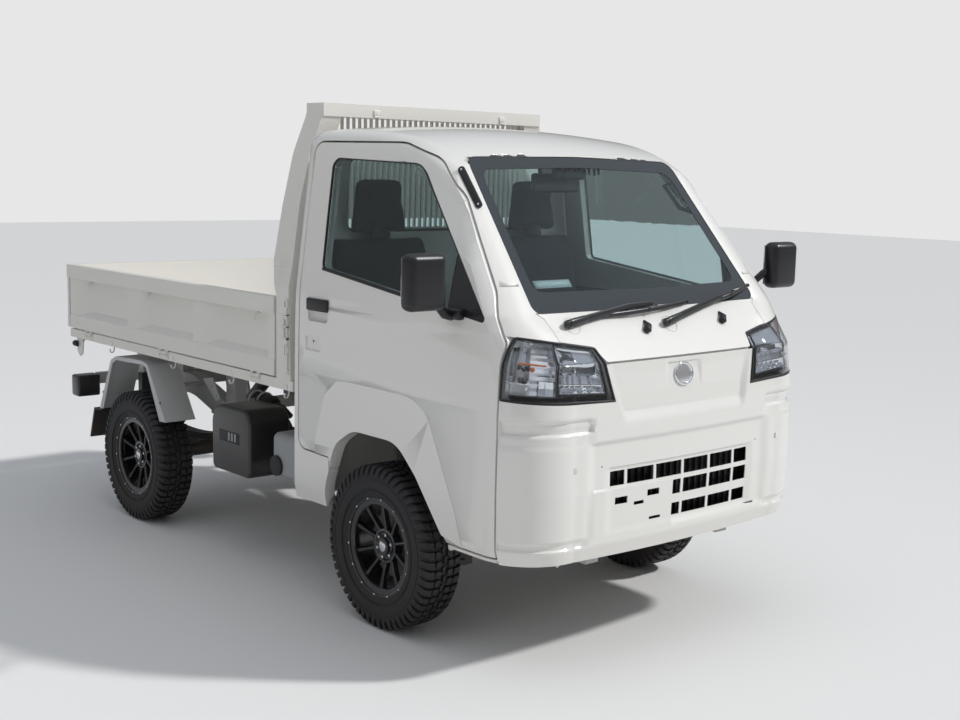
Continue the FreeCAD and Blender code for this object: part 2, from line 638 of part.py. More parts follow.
rails = pair(make_rail())
save("chassis_rails", *rails)
save("cross_members", *make_cross_members(rails))
engine = fused([box(*ENGINE), box(-110, 110, -490, -170, 400, 560)])
save("engine", engine)
save("propeller_shaft", rod((0, -175, 450), (0, REAR_AXLE_Y - 100, 312), 30).cut(engine).cut(
    rod((-95, REAR_AXLE_Y, TYRE_R), (95, REAR_AXLE_Y, TYRE_R), 112)))
save("front_suspension", *pair(make_front_suspension()), *pair(make_strut()))
save("knuckle_left", make_knuckle())
save("knuckle_right", mirrored(make_knuckle()))
save("rear_axle", make_rear_axle())
save("leaf_springs", *pair(make_spring()))


# ---- wheels ---------------------------------------------------------------------------------------------
SPOKES = 10
RIM_EDGE = 62.0             # rim lips from the wheel's centre plane
DISC_FACE = HUB_FACE + SEAT - TRACK_X


def turned(points, y):
    """A ring about the axle: points are (x from the wheel's centre plane, radius), or with a corner radius."""
    face = outline("y", [(TRACK_X + p[0], TYRE_R + p[1], *p[2:]) for p in points], y)
    return face.revolve(V(0, y, TYRE_R), V(1, 0, 0), 360)


def make_tyre(y):
    half = TYRE_W / 2
    return turned([(-RIM_EDGE, RIM_R), (RIM_EDGE, RIM_R), (half - 6, RIM_R + 14, 8), (half, RIM_R + 62, 60),
                   (half - 8, TYRE_R - 4, 18), (half - 18, TYRE_R), (18 - half, TYRE_R), (8 - half, TYRE_R - 4, 18),
                   (-half, RIM_R + 62, 60), (6 - half, RIM_R + 14, 8)], y)


def make_rim(y):
    lip = RIM_EDGE
    barrel = turned([(-lip, RIM_R), (-lip, RIM_R - 12), (40, RIM_R - 12), (48, RIM_R - 26), (lip, RIM_R - 26),
                     (lip, RIM_R)], y)
    dish = turned([(DISC_FACE, 30 + SPINDLE_R), (DISC_FACE + 12, 92), (44, RIM_R - 24), (58, RIM_R - 24), (56, RIM_R - 40),
                   (40, 88), (40, SPINDLE_R + 30)], y)
    hub = rod((TRACK_X + DISC_FACE, y, TYRE_R), (TRACK_X + 44, y, TYRE_R), 62)
    cap = rod((TRACK_X + 44, y, TYRE_R), (TRACK_X + 56, y, TYRE_R), 33)
    gap_half = math.pi / SPOKES * 0.62
    window = []
    for r, a in ((74, -0.30), (138, -gap_half), (138, gap_half), (74, 0.30)):
        window.append((y + r * math.sin(a), TYRE_R + r * math.cos(a), 7))
    cut = prism("x", window, TRACK_X - 10, TRACK_X + 90)
    for i in range(SPOKES):
        opening = cut.copy()
        opening.rotate(V(0, y, TYRE_R), V(1, 0, 0), 360 / SPOKES * (i + 0.5))
        dish = dish.cut(opening)
    bore = rod((TRACK_X - 20, y, TYRE_R), (HUB_FACE + 34.5, y, TYRE_R), SPINDLE_R + SEAT)
    return fused([barrel, dish, hub, cap]).cut(bore)


for end, y in (("front", FRONT_AXLE_Y), ("rear", REAR_AXLE_Y)):
    tyre, rim = make_tyre(y), make_rim(y)
    save("tyre_" + end + "_left", tyre)
    save("tyre_" + end + "_right", mirrored(tyre))
    save("rim_" + end + "_left", rim)
    save("rim_" + end + "_right", mirrored(rim))


# ---- on the chassis -------------------------------------------------------------------------------------
def make_mudguard():
    over = [(1372, 472), (1244, 722, 30), (1192, 745), (930, 755, 30), (874, 744, 30), (708, 504)]
    face = outline("x", over, 565)
    sheet = face.extrude(V(150, 0, 0)).cut(prism("x", [(1364, 440)] + [(p[0] - (6 if p[0] > 1000 else -7), p[1] - 7)
                                           for p in over[1:5]] + [(716, 440)], 560, 720))
    lip = face.extrude(V(5, 0, 0))
    lip.translate(V(145, 0, 0))
    lip = lip.cut(prism("x", [(1350, 440), (1230, 706), (1188, 728), (925, 738), (888, 728), (732, 440)], 560, 720))
    sheet = sheet.cut(box(500, 800, 600, 1500, 400, 472))
    lip = lip.cut(box(500, 800, 600, 1500, 400, 472))
    stay = [box(RAIL_X[1], 575, 990, 1050, TYRE_R * 2 + 6, TYRE_R * 2 + 16),
            box(565, 575, 990, 1050, TYRE_R * 2 + 6, 745)]
    return fused([max(sheet.Solids, key=lambda s: s.Volume)] + lip.Solids + stay)


def make_box(x0, x1, y0, y1, z0, z1, r):
    body = box(x0, x1, y0, y1, z0, z1)
    return body.makeFillet(r, body.Edges)


save("rear_mudguards", *pair(make_mudguard()))
save("mud_flaps", *pair(prism("x", [(1362, 472), (1376, 472), (1441, 464), (1492, 314), (1482, 312),
                                    (1432, 455), (1362, 462)], 570, 712)))
battery = prism("x", [(50, 362, 25), (358, 362, 25), (366, 650, 90), (50, 650, 60)], -682, -480)
battery = fused([battery, box(-482, -RAIL_X[1], 120, 300, 380, 430)])
save("battery_box", battery)
tank = make_box(420, 672, -60, 420, 352, 560, 30)
straps = [box(RAIL_X[1], 430, y, y + 60, 400, 430) for y in (100, 250)]
save("fuel_tank", fused([tank] + straps))
air = make_box(-640, -440, -300, -50, 400, 580, 28)
save("air_cleaner", fused([air, box(-450, -RAIL_X[1], -230, -180, 405, 432)]))
LAMP_X = (600, 720)
bar = fused([box(-600, 600, RAIL_REAR, RAIL_REAR + 30, 545, 600)])
save("rear_bar", bar)
save("rear_lamps", *pair(make_box(*LAMP_X, 1598, 1692, 490, 600, 14)))
muffler = rod((200, 480, 405), (200, 840, 420), 62)
inlet = rod((200, -170, 396), (200, 490, 400), 19)
tail = rod((200, 830, 420), (200, 900, 400), 18)
save("exhaust", fused([muffler, inlet, tail, box(190, 210, 780, 870, 470, 480)]))


# ---- tipping bed ----------------------------------------------------------------------------------------
GATE_HINGES = ((1420, 1496), (657, 748), (-104, -29))       # stretches of the side gates' hinge line
TAIL_HINGES = ((-600, -520), (-40, 40), (520, 600))
TAIL_Y = (1669.5, 1688.0)
TAIL_HINGE_Y = HALF_LENGTH - BARREL_R
BED_REAR = 1668.0


def thirds(low, high):
    step = (high - low) / 3
    return (low, low + step - 0.5), (low + step, high - step), (high - step + 0.5, high)


def make_bed():
    deck = box(-BED_HALF, BED_HALF, GATE_Y[0] - 5, BED_REAR, BED_Z[1] - 8, BED_Z[1])
    front = box(-BED_HALF, BED_HALF, BED_FRONT, GATE_Y[0] - 5, *BED_Z)
    parts = [deck, front, box(-BED_HALF, BED_HALF, BED_REAR - 50, BED_REAR, *BED_Z)]
    parts += pair(box(BED_HALF - 40, BED_HALF, BED_FRONT, BED_REAR, *BED_Z))
    inside = GATE_OUT - GATE_T - 6
    parts.append(box(-inside, inside, GATE_Y[0] - 12, BED_REAR - 14, BED_Z[1] - 1, BED_Z[1] + FLOOR_SHEET))
    for y in (60, 380, 700, 1020, 1340):
        parts.append(box(-BED_HALF + 10, BED_HALF - 10, y, y + 50, BED_Z[0] + 4, BED_Z[1] - 4))
    y, z = TIP_PIVOT
    for side in (-1, 1):
        x0, x1 = sorted((side * RAIL_X[0], side * RAIL_X[1]))
        beam = box(x0, x1, BED_FRONT + 60, y + 22, SUB_RAIL_Z, BED_Z[0] + 8)
        ear = rod((x0, y, z), (x1, y, z), 26)
        parts.append(fused([beam, ear]).cut(rod((x0 - 1, y, z), (x1 + 1, y, z), TIP_PIN_R + SEAT)))
    ey, ez = HOIST_EYE
    for x in (-52, 40):
        parts.append(box(x, x + 12, ey - 30, ey + 30, ez - 24, BED_Z[1] - 4))
    parts.append(box(-52, 52, ey - 80, ey + 80, BED_Z[0] + 2, BED_Z[1] - 4))
    parts.append(box(-611, 611, BED_FRONT + 75, GATE_Y[0] - 8, BED_Z[1] - 4, GATE_Z[1] - 30))
    hx, hz = GATE_HINGE_X, HINGE_Z
    for low, high in GATE_HINGES:
        m0, m1 = thirds(low, high)[1]
        parts += pair(fused([rod((hx, m0, hz), (hx, m1, hz), BARREL_R), box(BED_HALF - 4, hx, m0, m1, hz - 5, hz + 4)]))
    for low, high in TAIL_HINGES:
        m0, m1 = thirds(low, high)[1]
        parts.append(fused([rod((m0, TAIL_HINGE_Y, hz), (m1, TAIL_HINGE_Y, hz), BARREL_R),
                            box(m0, m1, BED_REAR - 4, TAIL_HINGE_Y, hz - 5, hz + 4)]))
    return fused(parts)


LEG_SIDE = [(-320, 829), (-300, 1285), (-268, 1500), (-270, 1700, 200), (-307, 1865), (-307, GUARD_TOP),
            (-190, GUARD_TOP), (-190, 1840, 60), (-152, 1700, 200), (-150, 1500), (-165, 1285), (GATE_Y[0] - 12, 1150),
            (GATE_Y[0] - 12, 829)]
LEG_FRONT = [(612, 829), (722, 829), (722, 1190, 120), (566, 1860), (566, GUARD_TOP), (480, GUARD_TOP), (480, 1835),
             (612, 1220, 120)]
SLAT_PITCH = 28.0


def make_guard():
    leg = prism("x", LEG_SIDE, 400, 760).common(prism("y", LEG_FRONT, -400, -100))
    parts = pair(leg)
    parts.append(box(-566, 566, -307, -190, 1841, GUARD_TOP))
    parts.append(box(-625, 625, -275, -245, 1375, 1410))
    parts.append(box(-625, 625, -275, -245, GATE_Z[1] - 30, GATE_Z[1] + 5))
    count = int(1000 / SLAT_PITCH / 2)
    for i in range(-count, count + 1):
        x = i * SLAT_PITCH
        parts.append(box(x - 4, x + 4, -266, -254, GATE_Z[1], 1845))
    return fused(parts)


def make_side_gate():
    """The left gate: ribbed sheet between a deep top rail and a bevelled foot rail."""
    back = GATE_OUT - GATE_T
    sheet, rib = back + 9, GATE_OUT - 5
    y0, y1 = GATE_Y
    plan = [(back, y0), (rib, y0), (rib, y0 + 45), (sheet, y0 + 65)]
    for bevel, low, high in ((260, 336, 440), (864, 939, 1052)):
        plan += [(sheet, bevel), (rib, low), (rib, high), (sheet, high + 12)]
    plan += [(sheet, y1 - 195), (rib, y1 - 100), (rib, y1), (back, y1)]
    z0, z1 = GATE_Z
    parts = [prism("z", plan, z0, z1)]
    foot = [(back, z0), (GATE_OUT - 2, z0), (GATE_OUT - 2, z0 + 62), (sheet, z0 + 90), (back, z0 + 90)]
    parts.append(prism("y", foot, y0, y1))
    parts.append(box(back, GATE_OUT, y0, y1, z1 - 65, z1))
    hx, hz = GATE_HINGE_X, HINGE_Z
    for low, high in GATE_HINGES:
        for a, b in (thirds(low, high)[0], thirds(low, high)[2]):
            parts.append(rod((hx, a, hz), (hx, b, hz), BARREL_R))
            parts.append(box(BED_HALF + 2, hx + 3, a, b, hz, hz + 8))
            parts.append(box(BED_HALF + 2, GATE_OUT - 2, a, b, hz + 6, z0 + 4))
    return fused(parts)


def make_tailgate():
    z0, z1 = GATE_Z
    wide = GATE_OUT - 2
    y0, y1 = TAIL_Y
    parts = [box(-wide, wide, y0, y0 + 8, z0, z1), box(-wide, wide, y0, y1 + 6, z1 - 65, z1),
             box(-wide, wide, y0, y1 + 4, z0, z0 + 62)]
    for x in (-wide, -wide / 3 - 45, wide / 3 - 45, wide - 90):
        parts.append(box(x, x + 90, y0, y1, z0, z1))
    hy, hz = TAIL_HINGE_Y, HINGE_Z
    for low, high in TAIL_HINGES:
        for a, b in (thirds(low, high)[0], thirds(low, high)[2]):
            parts.append(rod((a, hy, hz), (b, hy, hz), BARREL_R))
            parts.append(box(a, b, BED_REAR + 4, hy + 3, hz, hz + 8))
            parts.append(box(a, b, y0 + 2, hy, hz + 6, z0 + 4))
    return fused(parts)


HOIST_LENGTH = math.hypot(HOIST_EYE[0] - HOIST_FOOT[0], HOIST_EYE[1] - HOIST_FOOT[1])
HOIST_WAY = ((HOIST_EYE[0] - HOIST_FOOT[0]) / HOIST_LENGTH, (HOIST_EYE[1] - HOIST_FOOT[1]) / HOIST_LENGTH)


def on_hoist(t, x=0.0):
    """A point on the hoist's axis, at a distance from its foot."""
    return (x, HOIST_FOOT[0] + HOIST_WAY[0] * t, HOIST_FOOT[1] + HOIST_WAY[1] * t)


def make_hoist():
    wall = 7.0
    tube = pipe(on_hoist(34), on_hoist(452), BARREL_OUT_R, wall)
    foot = fused([rod((-24, *HOIST_FOOT), (24, *HOIST_FOOT), 28), rod(on_hoist(20), on_hoist(48), BARREL_OUT_R)])
    foot = foot.cut(rod((-25, *HOIST_FOOT), (25, *HOIST_FOOT), HOIST_PIN_R + SEAT))
    barrel = fused([tube, foot])
    piston = rod(on_hoist(60), on_hoist(90), BARREL_OUT_R - wall - SEAT)
    stem = rod(on_hoist(60), on_hoist(HOIST_LENGTH - 10), HOIST_ROD_R)
    eye = rod((-22, *HOIST_EYE), (22, *HOIST_EYE), 22)
    return barrel, fused([piston, stem, eye])


save("bed_deck", make_bed())
save("guard_frame", make_guard())
gate = make_side_gate()
save("side_gate_left", gate)
save("side_gate_right", mirrored(gate))
save("tailgate", make_tailgate())
hoist_barrel, hoist_rod = make_hoist()
save("hoist_barrel", hoist_barrel)
save("hoist_rod", hoist_rod)
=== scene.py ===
# %% [markdown]
# # A kei tipper truck
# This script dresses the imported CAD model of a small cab-over truck with a tipping bed. The CAD nodes give
# every place and size. Some of them stay and only get a finish; others are hidden, and a finer piece stands
# for them. The cells go from the frame to the light, the finishes, the cab, the wheels, the underside and the
# bed.

# %% Load the frame
import bmesh
import bpy
import math
from mathutils import Matrix, Vector


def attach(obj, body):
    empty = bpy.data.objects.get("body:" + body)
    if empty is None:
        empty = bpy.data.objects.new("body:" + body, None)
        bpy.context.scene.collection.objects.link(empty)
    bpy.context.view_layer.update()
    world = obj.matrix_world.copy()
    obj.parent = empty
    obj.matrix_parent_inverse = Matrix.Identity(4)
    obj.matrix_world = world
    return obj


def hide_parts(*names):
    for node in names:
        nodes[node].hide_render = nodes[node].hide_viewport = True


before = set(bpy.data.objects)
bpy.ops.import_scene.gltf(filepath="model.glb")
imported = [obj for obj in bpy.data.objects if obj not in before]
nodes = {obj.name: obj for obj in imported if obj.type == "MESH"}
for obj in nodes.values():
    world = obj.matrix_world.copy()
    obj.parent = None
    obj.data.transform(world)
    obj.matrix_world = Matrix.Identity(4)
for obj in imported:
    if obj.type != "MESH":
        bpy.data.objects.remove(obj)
scene = bpy.context.scene
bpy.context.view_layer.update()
MM = 0.001

# %% [markdown]
# ## Camera
# The truck is seen from its right front corner, a little above the height of the windshield's middle. A
# camera is an object like any other: here its axes are worked out from where it stands and what it looks at,
# with a small roll, and written as a rotation matrix.

# %% Camera
EYE = Vector((-3.511, -4.645, 1.6535))
TARGET = Vector((0.757, 0.2775, 0.7255))
ROLL = 0.0216
LENS = 50.36


def make_camera():
    ahead = (TARGET - EYE).normalized()
    right = ahead.cross(Vector((0, 0, 1))).normalized()
    up = right.cross(ahead)
    right, up = right * math.cos(ROLL) + up * math.sin(ROLL), up * math.cos(ROLL) - right * math.sin(ROLL)
    data = bpy.data.cameras.new("camera")
    data.lens, data.sensor_width = LENS, 36.0
    camera = bpy.data.objects.new("camera", data)
    turn = Matrix((right, up, -ahead)).transposed().to_4x4()
    camera.matrix_world = Matrix.Translation(EYE) @ turn
    scene.collection.objects.link(camera)
    scene.camera = camera
    return camera


make_camera()
print("camera stands at", [round(v, 2) for v in EYE])

# %% [markdown]
# ## Floor and light
# A pale studio: one large floor, a sun from the truck's left front that leaves its right side in soft shade,
# a big soft lamp overhead and a weak fill. The world is pale, so that paint and glass have something to
# reflect. The camera alone sees it as white: no lamp is turned up for the background.

# %% Floor, lamps and world
FLOOR_SIZE = 60.0


def plain_material(name, colour, roughness):
    material = bpy.data.materials.new(name)
    material.use_nodes = True
    shader = material.node_tree.nodes["Principled BSDF"]
    shader.inputs["Base Color"].default_value = (*colour, 1)
    shader.inputs["Roughness"].default_value = roughness
    return material


def make_floor():
    mesh = bpy.data.meshes.new("studio_floor")
    h = FLOOR_SIZE / 2
    mesh.from_pydata([(-h, -h, 0), (h, -h, 0), (h, h, 0), (-h, h, 0)], [], [(0, 1, 2, 3)])
    floor = bpy.data.objects.new("studio_floor", mesh)
    mesh.materials.append(plain_material("pale_floor", (0.80, 0.79, 0.77), 0.8))
    scene.collection.objects.link(floor)
    return floor


def add_lamp(name, kind, energy, place, aim, **settings):
    data = bpy.data.lights.new(name, kind)
    data.energy = energy
    for key, value in settings.items():
        setattr(data, key, value)
    lamp = bpy.data.objects.new(name, data)
    lamp.location = place
    lamp.rotation_euler = (Vector(aim) - Vector(place)).to_track_quat("-Z", "Y").to_euler()
    scene.collection.objects.link(lamp)
    return lamp


def make_world():
    world = bpy.data.worlds.new("studio_world")
    world.use_nodes = True
    tree = world.node_tree
    coords = tree.nodes.new("ShaderNodeTexCoord")
    split = tree.nodes.new("ShaderNodeSeparateXYZ")
    ramp = tree.nodes.new("ShaderNodeValToRGB")
    ramp.color_ramp.elements[0].position = 0.0
    ramp.color_ramp.elements[0].color = (0.40, 0.38, 0.36, 1)
    ramp.color_ramp.elements[1].position = 0.5
    ramp.color_ramp.elements[1].color = (0.92, 0.99, 1.10, 1)
    tree.links.new(coords.outputs["Generated"], split.inputs[0])
    tree.links.new(split.outputs["Z"], ramp.inputs[0])
    background = tree.nodes["Background"]
    seen = tree.nodes.new("ShaderNodeLightPath")
    lit = tree.nodes.new("ShaderNodeMix")
    lit.data_type = "RGBA"
    lit.inputs[7].default_value = (2.0, 2.0, 2.0, 1)
    tree.links.new(seen.outputs["Is Camera Ray"], lit.inputs["Factor"])
    tree.links.new(ramp.outputs["Color"], lit.inputs[6])
    tree.links.new(lit.outputs[2], background.inputs["Color"])
    background.inputs["Strength"].default_value = 0.40
    scene.world = world


make_floor()
make_world()
add_lamp("sun", "SUN", 2.3, (6.2, -5.4, 7.0), (0, 0, 0), angle=math.radians(4))
add_lamp("overhead", "AREA", 60, (-1.0, -1.0, 6.0), (0, 0, 0.5), size=6.0)
add_lamp("side_fill", "AREA", 12, (-7.0, -1.0, 3.0), (0, 0.3, 0.8), size=4.0)
scene.view_settings.view_transform = "Standard"

# %% [markdown]
# ## Shared surface effects
# Three things show on more than one finish: a fine waviness or grain, a film of dust that thickens towards
# the ground, and soft blotches of tone. Each is a node group with named inputs, so every finish can place it
# with its own values. A group gives out only values and normals; the shader itself stays in each material.

# %% Node groups
def node_group(name, inputs, outputs):
    group = bpy.data.node_groups.new(name, "ShaderNodeTree")
    for label, kind, value in inputs:
        socket = group.interface.new_socket(label, in_out="INPUT", socket_type="NodeSocket" + kind)
        if value is not None:
            socket.default_value = value
    for label, kind in outputs:
        group.interface.new_socket(label, in_out="OUTPUT", socket_type="NodeSocket" + kind)
    return group, group.nodes.new("NodeGroupInput"), group.nodes.new("NodeGroupOutput")


def math_node(tree, operation, a, b=None, clamp=False):
    node = tree.nodes.new("ShaderNodeMath")
    node.operation, node.use_clamp = operation, clamp
    for socket, value in zip(node.inputs, (a, b)):
        if hasattr(value, "is_linked"):
            tree.links.new(value, socket)
        elif value is not None:
            socket.default_value = value
    return node.outputs[0]


def noise_node(tree, vector, scale, detail=2.0):
    node = tree.nodes.new("ShaderNodeTexNoise")
    tree.links.new(vector, node.inputs["Vector"])
    if hasattr(scale, "is_linked"):
        tree.links.new(scale, node.inputs["Scale"])
    else:
        node.inputs["Scale"].default_value = scale
    node.inputs["Detail"].default_value = detail
    return node.outputs["Fac"]


def make_grain_group():
    """Fine bump: a noise of a given scale and height."""
    group, source, sink = node_group(
        "fine_grain", [("Scale", "Float", 300.0), ("Height", "Float", 0.0003)], [("Normal", "Vector")])
    coords = group.nodes.new("ShaderNodeTexCoord")
    bump = group.nodes.new("ShaderNodeBump")
    bump.inputs["Strength"].default_value = 1.0
    group.links.new(source.outputs["Height"], bump.inputs["Distance"])
    group.links.new(noise_node(group, coords.outputs["Object"], source.outputs["Scale"]),
                    bump.inputs["Height"])
    group.links.new(bump.outputs[0], sink.inputs["Normal"])
    return group


def make_dust_group():
    """A colour with dust over it: more of it low down and where a broad noise says."""
    group, source, sink = node_group(
        "low_dust",
        [("Base", "Color", (0.8, 0.8, 0.8, 1)), ("Dust", "Color", (0.42, 0.31, 0.21, 1)),
         ("Amount", "Float", 0.5), ("Reach", "Float", 0.7), ("Gloss", "Float", 0.3)],
        [("Color", "Color"), ("Roughness", "Float")])
    coords = group.nodes.new("ShaderNodeTexCoord")
    split = group.nodes.new("ShaderNodeSeparateXYZ")
    group.links.new(coords.outputs["Object"], split.inputs[0])
    low = math_node(group, "SUBTRACT", 1.0, math_node(group, "DIVIDE", split.outputs["Z"],
                                                      source.outputs["Reach"]),
                    clamp=True)
    patches = noise_node(group, coords.outputs["Object"], 7.0, 4.0)
    specks = noise_node(group, coords.outputs["Object"], 90.0, 3.0)
    spread = math_node(group, "MULTIPLY", math_node(group, "ADD", patches, specks), 0.9)
    mask = math_node(group, "MULTIPLY", math_node(group, "MULTIPLY", low, spread), source.outputs["Amount"],
                     clamp=True)
    mix = group.nodes.new("ShaderNodeMix")
    mix.data_type = "RGBA"
    group.links.new(mask, mix.inputs["Factor"])
    group.links.new(source.outputs["Base"], mix.inputs[6])
    group.links.new(source.outputs["Dust"], mix.inputs[7])
    group.links.new(mix.outputs[2], sink.inputs["Color"])
    rough = math_node(group, "ADD", source.outputs["Gloss"], math_node(group, "MULTIPLY", mask, 0.6),
                      clamp=True)
    group.links.new(rough, sink.inputs["Roughness"])
    return group


def make_tone_group():
    """A colour that drifts a little lighter and darker, as sprayed or moulded surfaces do."""
    group, source, sink = node_group(
        "soft_tone", [("Base", "Color", (0.8, 0.8, 0.8, 1)), ("Scale", "Float", 3.0),
                      ("Drift", "Float", 0.06)],
        [("Color", "Color")])
    coords = group.nodes.new("ShaderNodeTexCoord")
    noise = noise_node(group, coords.outputs["Object"], source.outputs["Scale"], 3.0)
    offset = math_node(group, "MULTIPLY", math_node(group, "SUBTRACT", noise, 0.5), source.outputs["Drift"])
    adjust = group.nodes.new("ShaderNodeHueSaturation")
    group.links.new(math_node(group, "ADD", offset, 1.0), adjust.inputs["Value"])
    group.links.new(source.outputs["Base"], adjust.inputs["Color"])
    group.links.new(adjust.outputs[0], sink.inputs["Color"])
    return group


GRAIN = make_grain_group()
DUST = make_dust_group()
TONE = make_tone_group()
print("groups", [g.name for g in bpy.data.node_groups])

# %% [markdown]
# ## Finishes
# The truck is mostly sprayed steel: warm white on the cab, a creamier white on the bed, pale grey on the
# chassis. Most finishes share one recipe, which differs in colour, gloss, grain and dust, so a table holds
# their values. Uniform values such as the coat sit on the shader's own sockets.

# %% Painted, moulded and metal finishes
def place_group(tree, group, **values):
    node = tree.nodes.new("ShaderNodeGroup")
    node.node_tree = group
    for key, value in values.items():
        node.inputs[key].default_value = value
    return node


def finish_material(name, colour, gloss, grain, height, dust=0.0, reach=0.7, drift=0.06, metal=0.0, coat=0.0,
                    coat_rough=0.05, sheen=0.0):
    material = bpy.data.materials.new(name)
    material.use_nodes = True
    tree = material.node_tree
    shader = tree.nodes["Principled BSDF"]
    tone = place_group(tree, TONE, Base=(*colour, 1), Drift=drift)
    film = place_group(tree, DUST, Amount=dust, Reach=reach, Gloss=gloss)
    tree.links.new(tone.outputs["Color"], film.inputs["Base"])
    tree.links.new(film.outputs["Color"], shader.inputs["Base Color"])
    tree.links.new(film.outputs["Roughness"], shader.inputs["Roughness"])
    fine = place_group(tree, GRAIN, Scale=grain, Height=height)
    tree.links.new(fine.outputs["Normal"], shader.inputs["Normal"])
    shader.inputs["Metallic"].default_value = metal
    shader.inputs["Coat Weight"].default_value = coat
    shader.inputs["Coat Roughness"].default_value = coat_rough
    shader.inputs["Sheen Weight"].default_value = sheen
    return material


FINISHES = {
    "white_paint": dict(colour=(0.80, 0.785, 0.745), gloss=0.38, grain=260, height=0.00003, dust=0.12,
                        reach=0.62,
                        drift=0.02, coat=0.9, coat_rough=0.06),
    "bed_paint": dict(colour=(0.77, 0.75, 0.70), gloss=0.42, grain=180, height=0.00008, dust=0.12, reach=1.0,
                      drift=0.04, coat=0.25, coat_rough=0.25),
    "floor_paint": dict(colour=(0.50, 0.50, 0.49), gloss=0.45, grain=200, height=0.0001, dust=0.35, reach=0.9,
                        drift=0.06),
    "chassis_paint": dict(colour=(0.55, 0.57, 0.58), gloss=0.45, grain=160, height=0.0002, dust=0.45,
                          reach=0.9,
                          drift=0.10, coat=0.1, coat_rough=0.3),
    "black_steel": dict(colour=(0.020, 0.020, 0.022), gloss=0.42, grain=200, height=0.0003, dust=0.16,
                        reach=0.8),
    "cast_metal": dict(colour=(0.13, 0.13, 0.13), gloss=0.6, grain=320, height=0.0008, dust=0.3, reach=0.9,
                       drift=0.3, metal=0.4),
    "black_plastic": dict(colour=(0.014, 0.014, 0.016), gloss=0.42, grain=900, height=0.00025, dust=0.05,
                          reach=1.0),
    "grey_plastic": dict(colour=(0.33, 0.36, 0.38), gloss=0.4, grain=600, height=0.0002, dust=0.3, reach=0.9),
    "wheel_black": dict(colour=(0.007, 0.008, 0.010), gloss=0.24, grain=500, height=0.00005, dust=0.02,
                        reach=0.9,
                        coat=0.6, coat_rough=0.10),
    "tyre_rubber": dict(colour=(0.011, 0.012, 0.015), gloss=0.62, grain=700, height=0.0004, dust=0.05,
                        reach=0.75,
                        drift=0.2),
    "flap_rubber": dict(colour=(0.020, 0.020, 0.022), gloss=0.6, grain=500, height=0.0004, dust=0.2,
                        reach=0.7),
    "seal_rubber": dict(colour=(0.012, 0.012, 0.013), gloss=0.5, grain=700, height=0.0002),
    "trim_dark": dict(colour=(0.045, 0.048, 0.052), gloss=0.55, grain=1100, height=0.0004, drift=0.1),
    "trim_grey": dict(colour=(0.22, 0.235, 0.245), gloss=0.6, grain=900, height=0.0003, drift=0.1),
    "bright_steel": dict(colour=(0.72, 0.73, 0.74), gloss=0.16, grain=300, height=0.00004, metal=1.0),
    "chrome": dict(colour=(0.90, 0.91, 0.93), gloss=0.04, grain=100, height=0.00001, drift=0.0, metal=1.0),
    "orange_bulb": dict(colour=(0.85, 0.22, 0.02), gloss=0.15, grain=200, height=0.00002, drift=0.0,
                        coat=0.8),
    "lamp_red": dict(colour=(0.35, 0.012, 0.010), gloss=0.12, grain=300, height=0.0001, dust=0.2, coat=1.0),
    "box_plastic": dict(colour=(0.014, 0.014, 0.016), gloss=0.30, grain=500, height=0.0002, dust=0.05,
                        reach=0.9,
                        coat=0.2, coat_rough=0.2),
    "pale_card": dict(colour=(0.62, 0.78, 0.80), gloss=0.5, grain=300, height=0.0),
    "pale_lens": dict(colour=(0.75, 0.76, 0.76), gloss=0.12, grain=200, height=0.00005, coat=0.8),
    "wiper_black": dict(colour=(0.022, 0.023, 0.025), gloss=0.34, grain=600, height=0.0001),
    "lamp_black": dict(colour=(0.02, 0.02, 0.022), gloss=0.25, grain=300, height=0.0001, dust=0.1, coat=0.4),
}
materials = {name: finish_material(name, **values) for name, values in FINISHES.items()}
print("finishes", len(materials))

# %% [markdown]
# Glass is a shader of its own: it lets light through, so dust and tone would only cloud it. The windows are
# tinted a cool green-grey. The seat cloth is a woven pattern of two crossed waves, which colour it and raise
# its threads.

# %% Glass and cloth
def glass_material(name, colour, roughness, ior=1.45, grain=40.0, height=0.00001):
    material = bpy.data.materials.new(name)
    material.use_nodes = True
    tree = material.node_tree
    shader = tree.nodes["Principled BSDF"]
    tone = place_group(tree, TONE, Base=(*colour, 1), Drift=0.02)
    tree.links.new(tone.outputs["Color"], shader.inputs["Base Color"])
    fine = place_group(tree, GRAIN, Scale=grain, Height=height)
    tree.links.new(fine.outputs["Normal"], shader.inputs["Normal"])
    shader.inputs["Roughness"].default_value = roughness
    shader.inputs["Transmission Weight"].default_value = 1.0
    shader.inputs["IOR"].default_value = ior
    return material


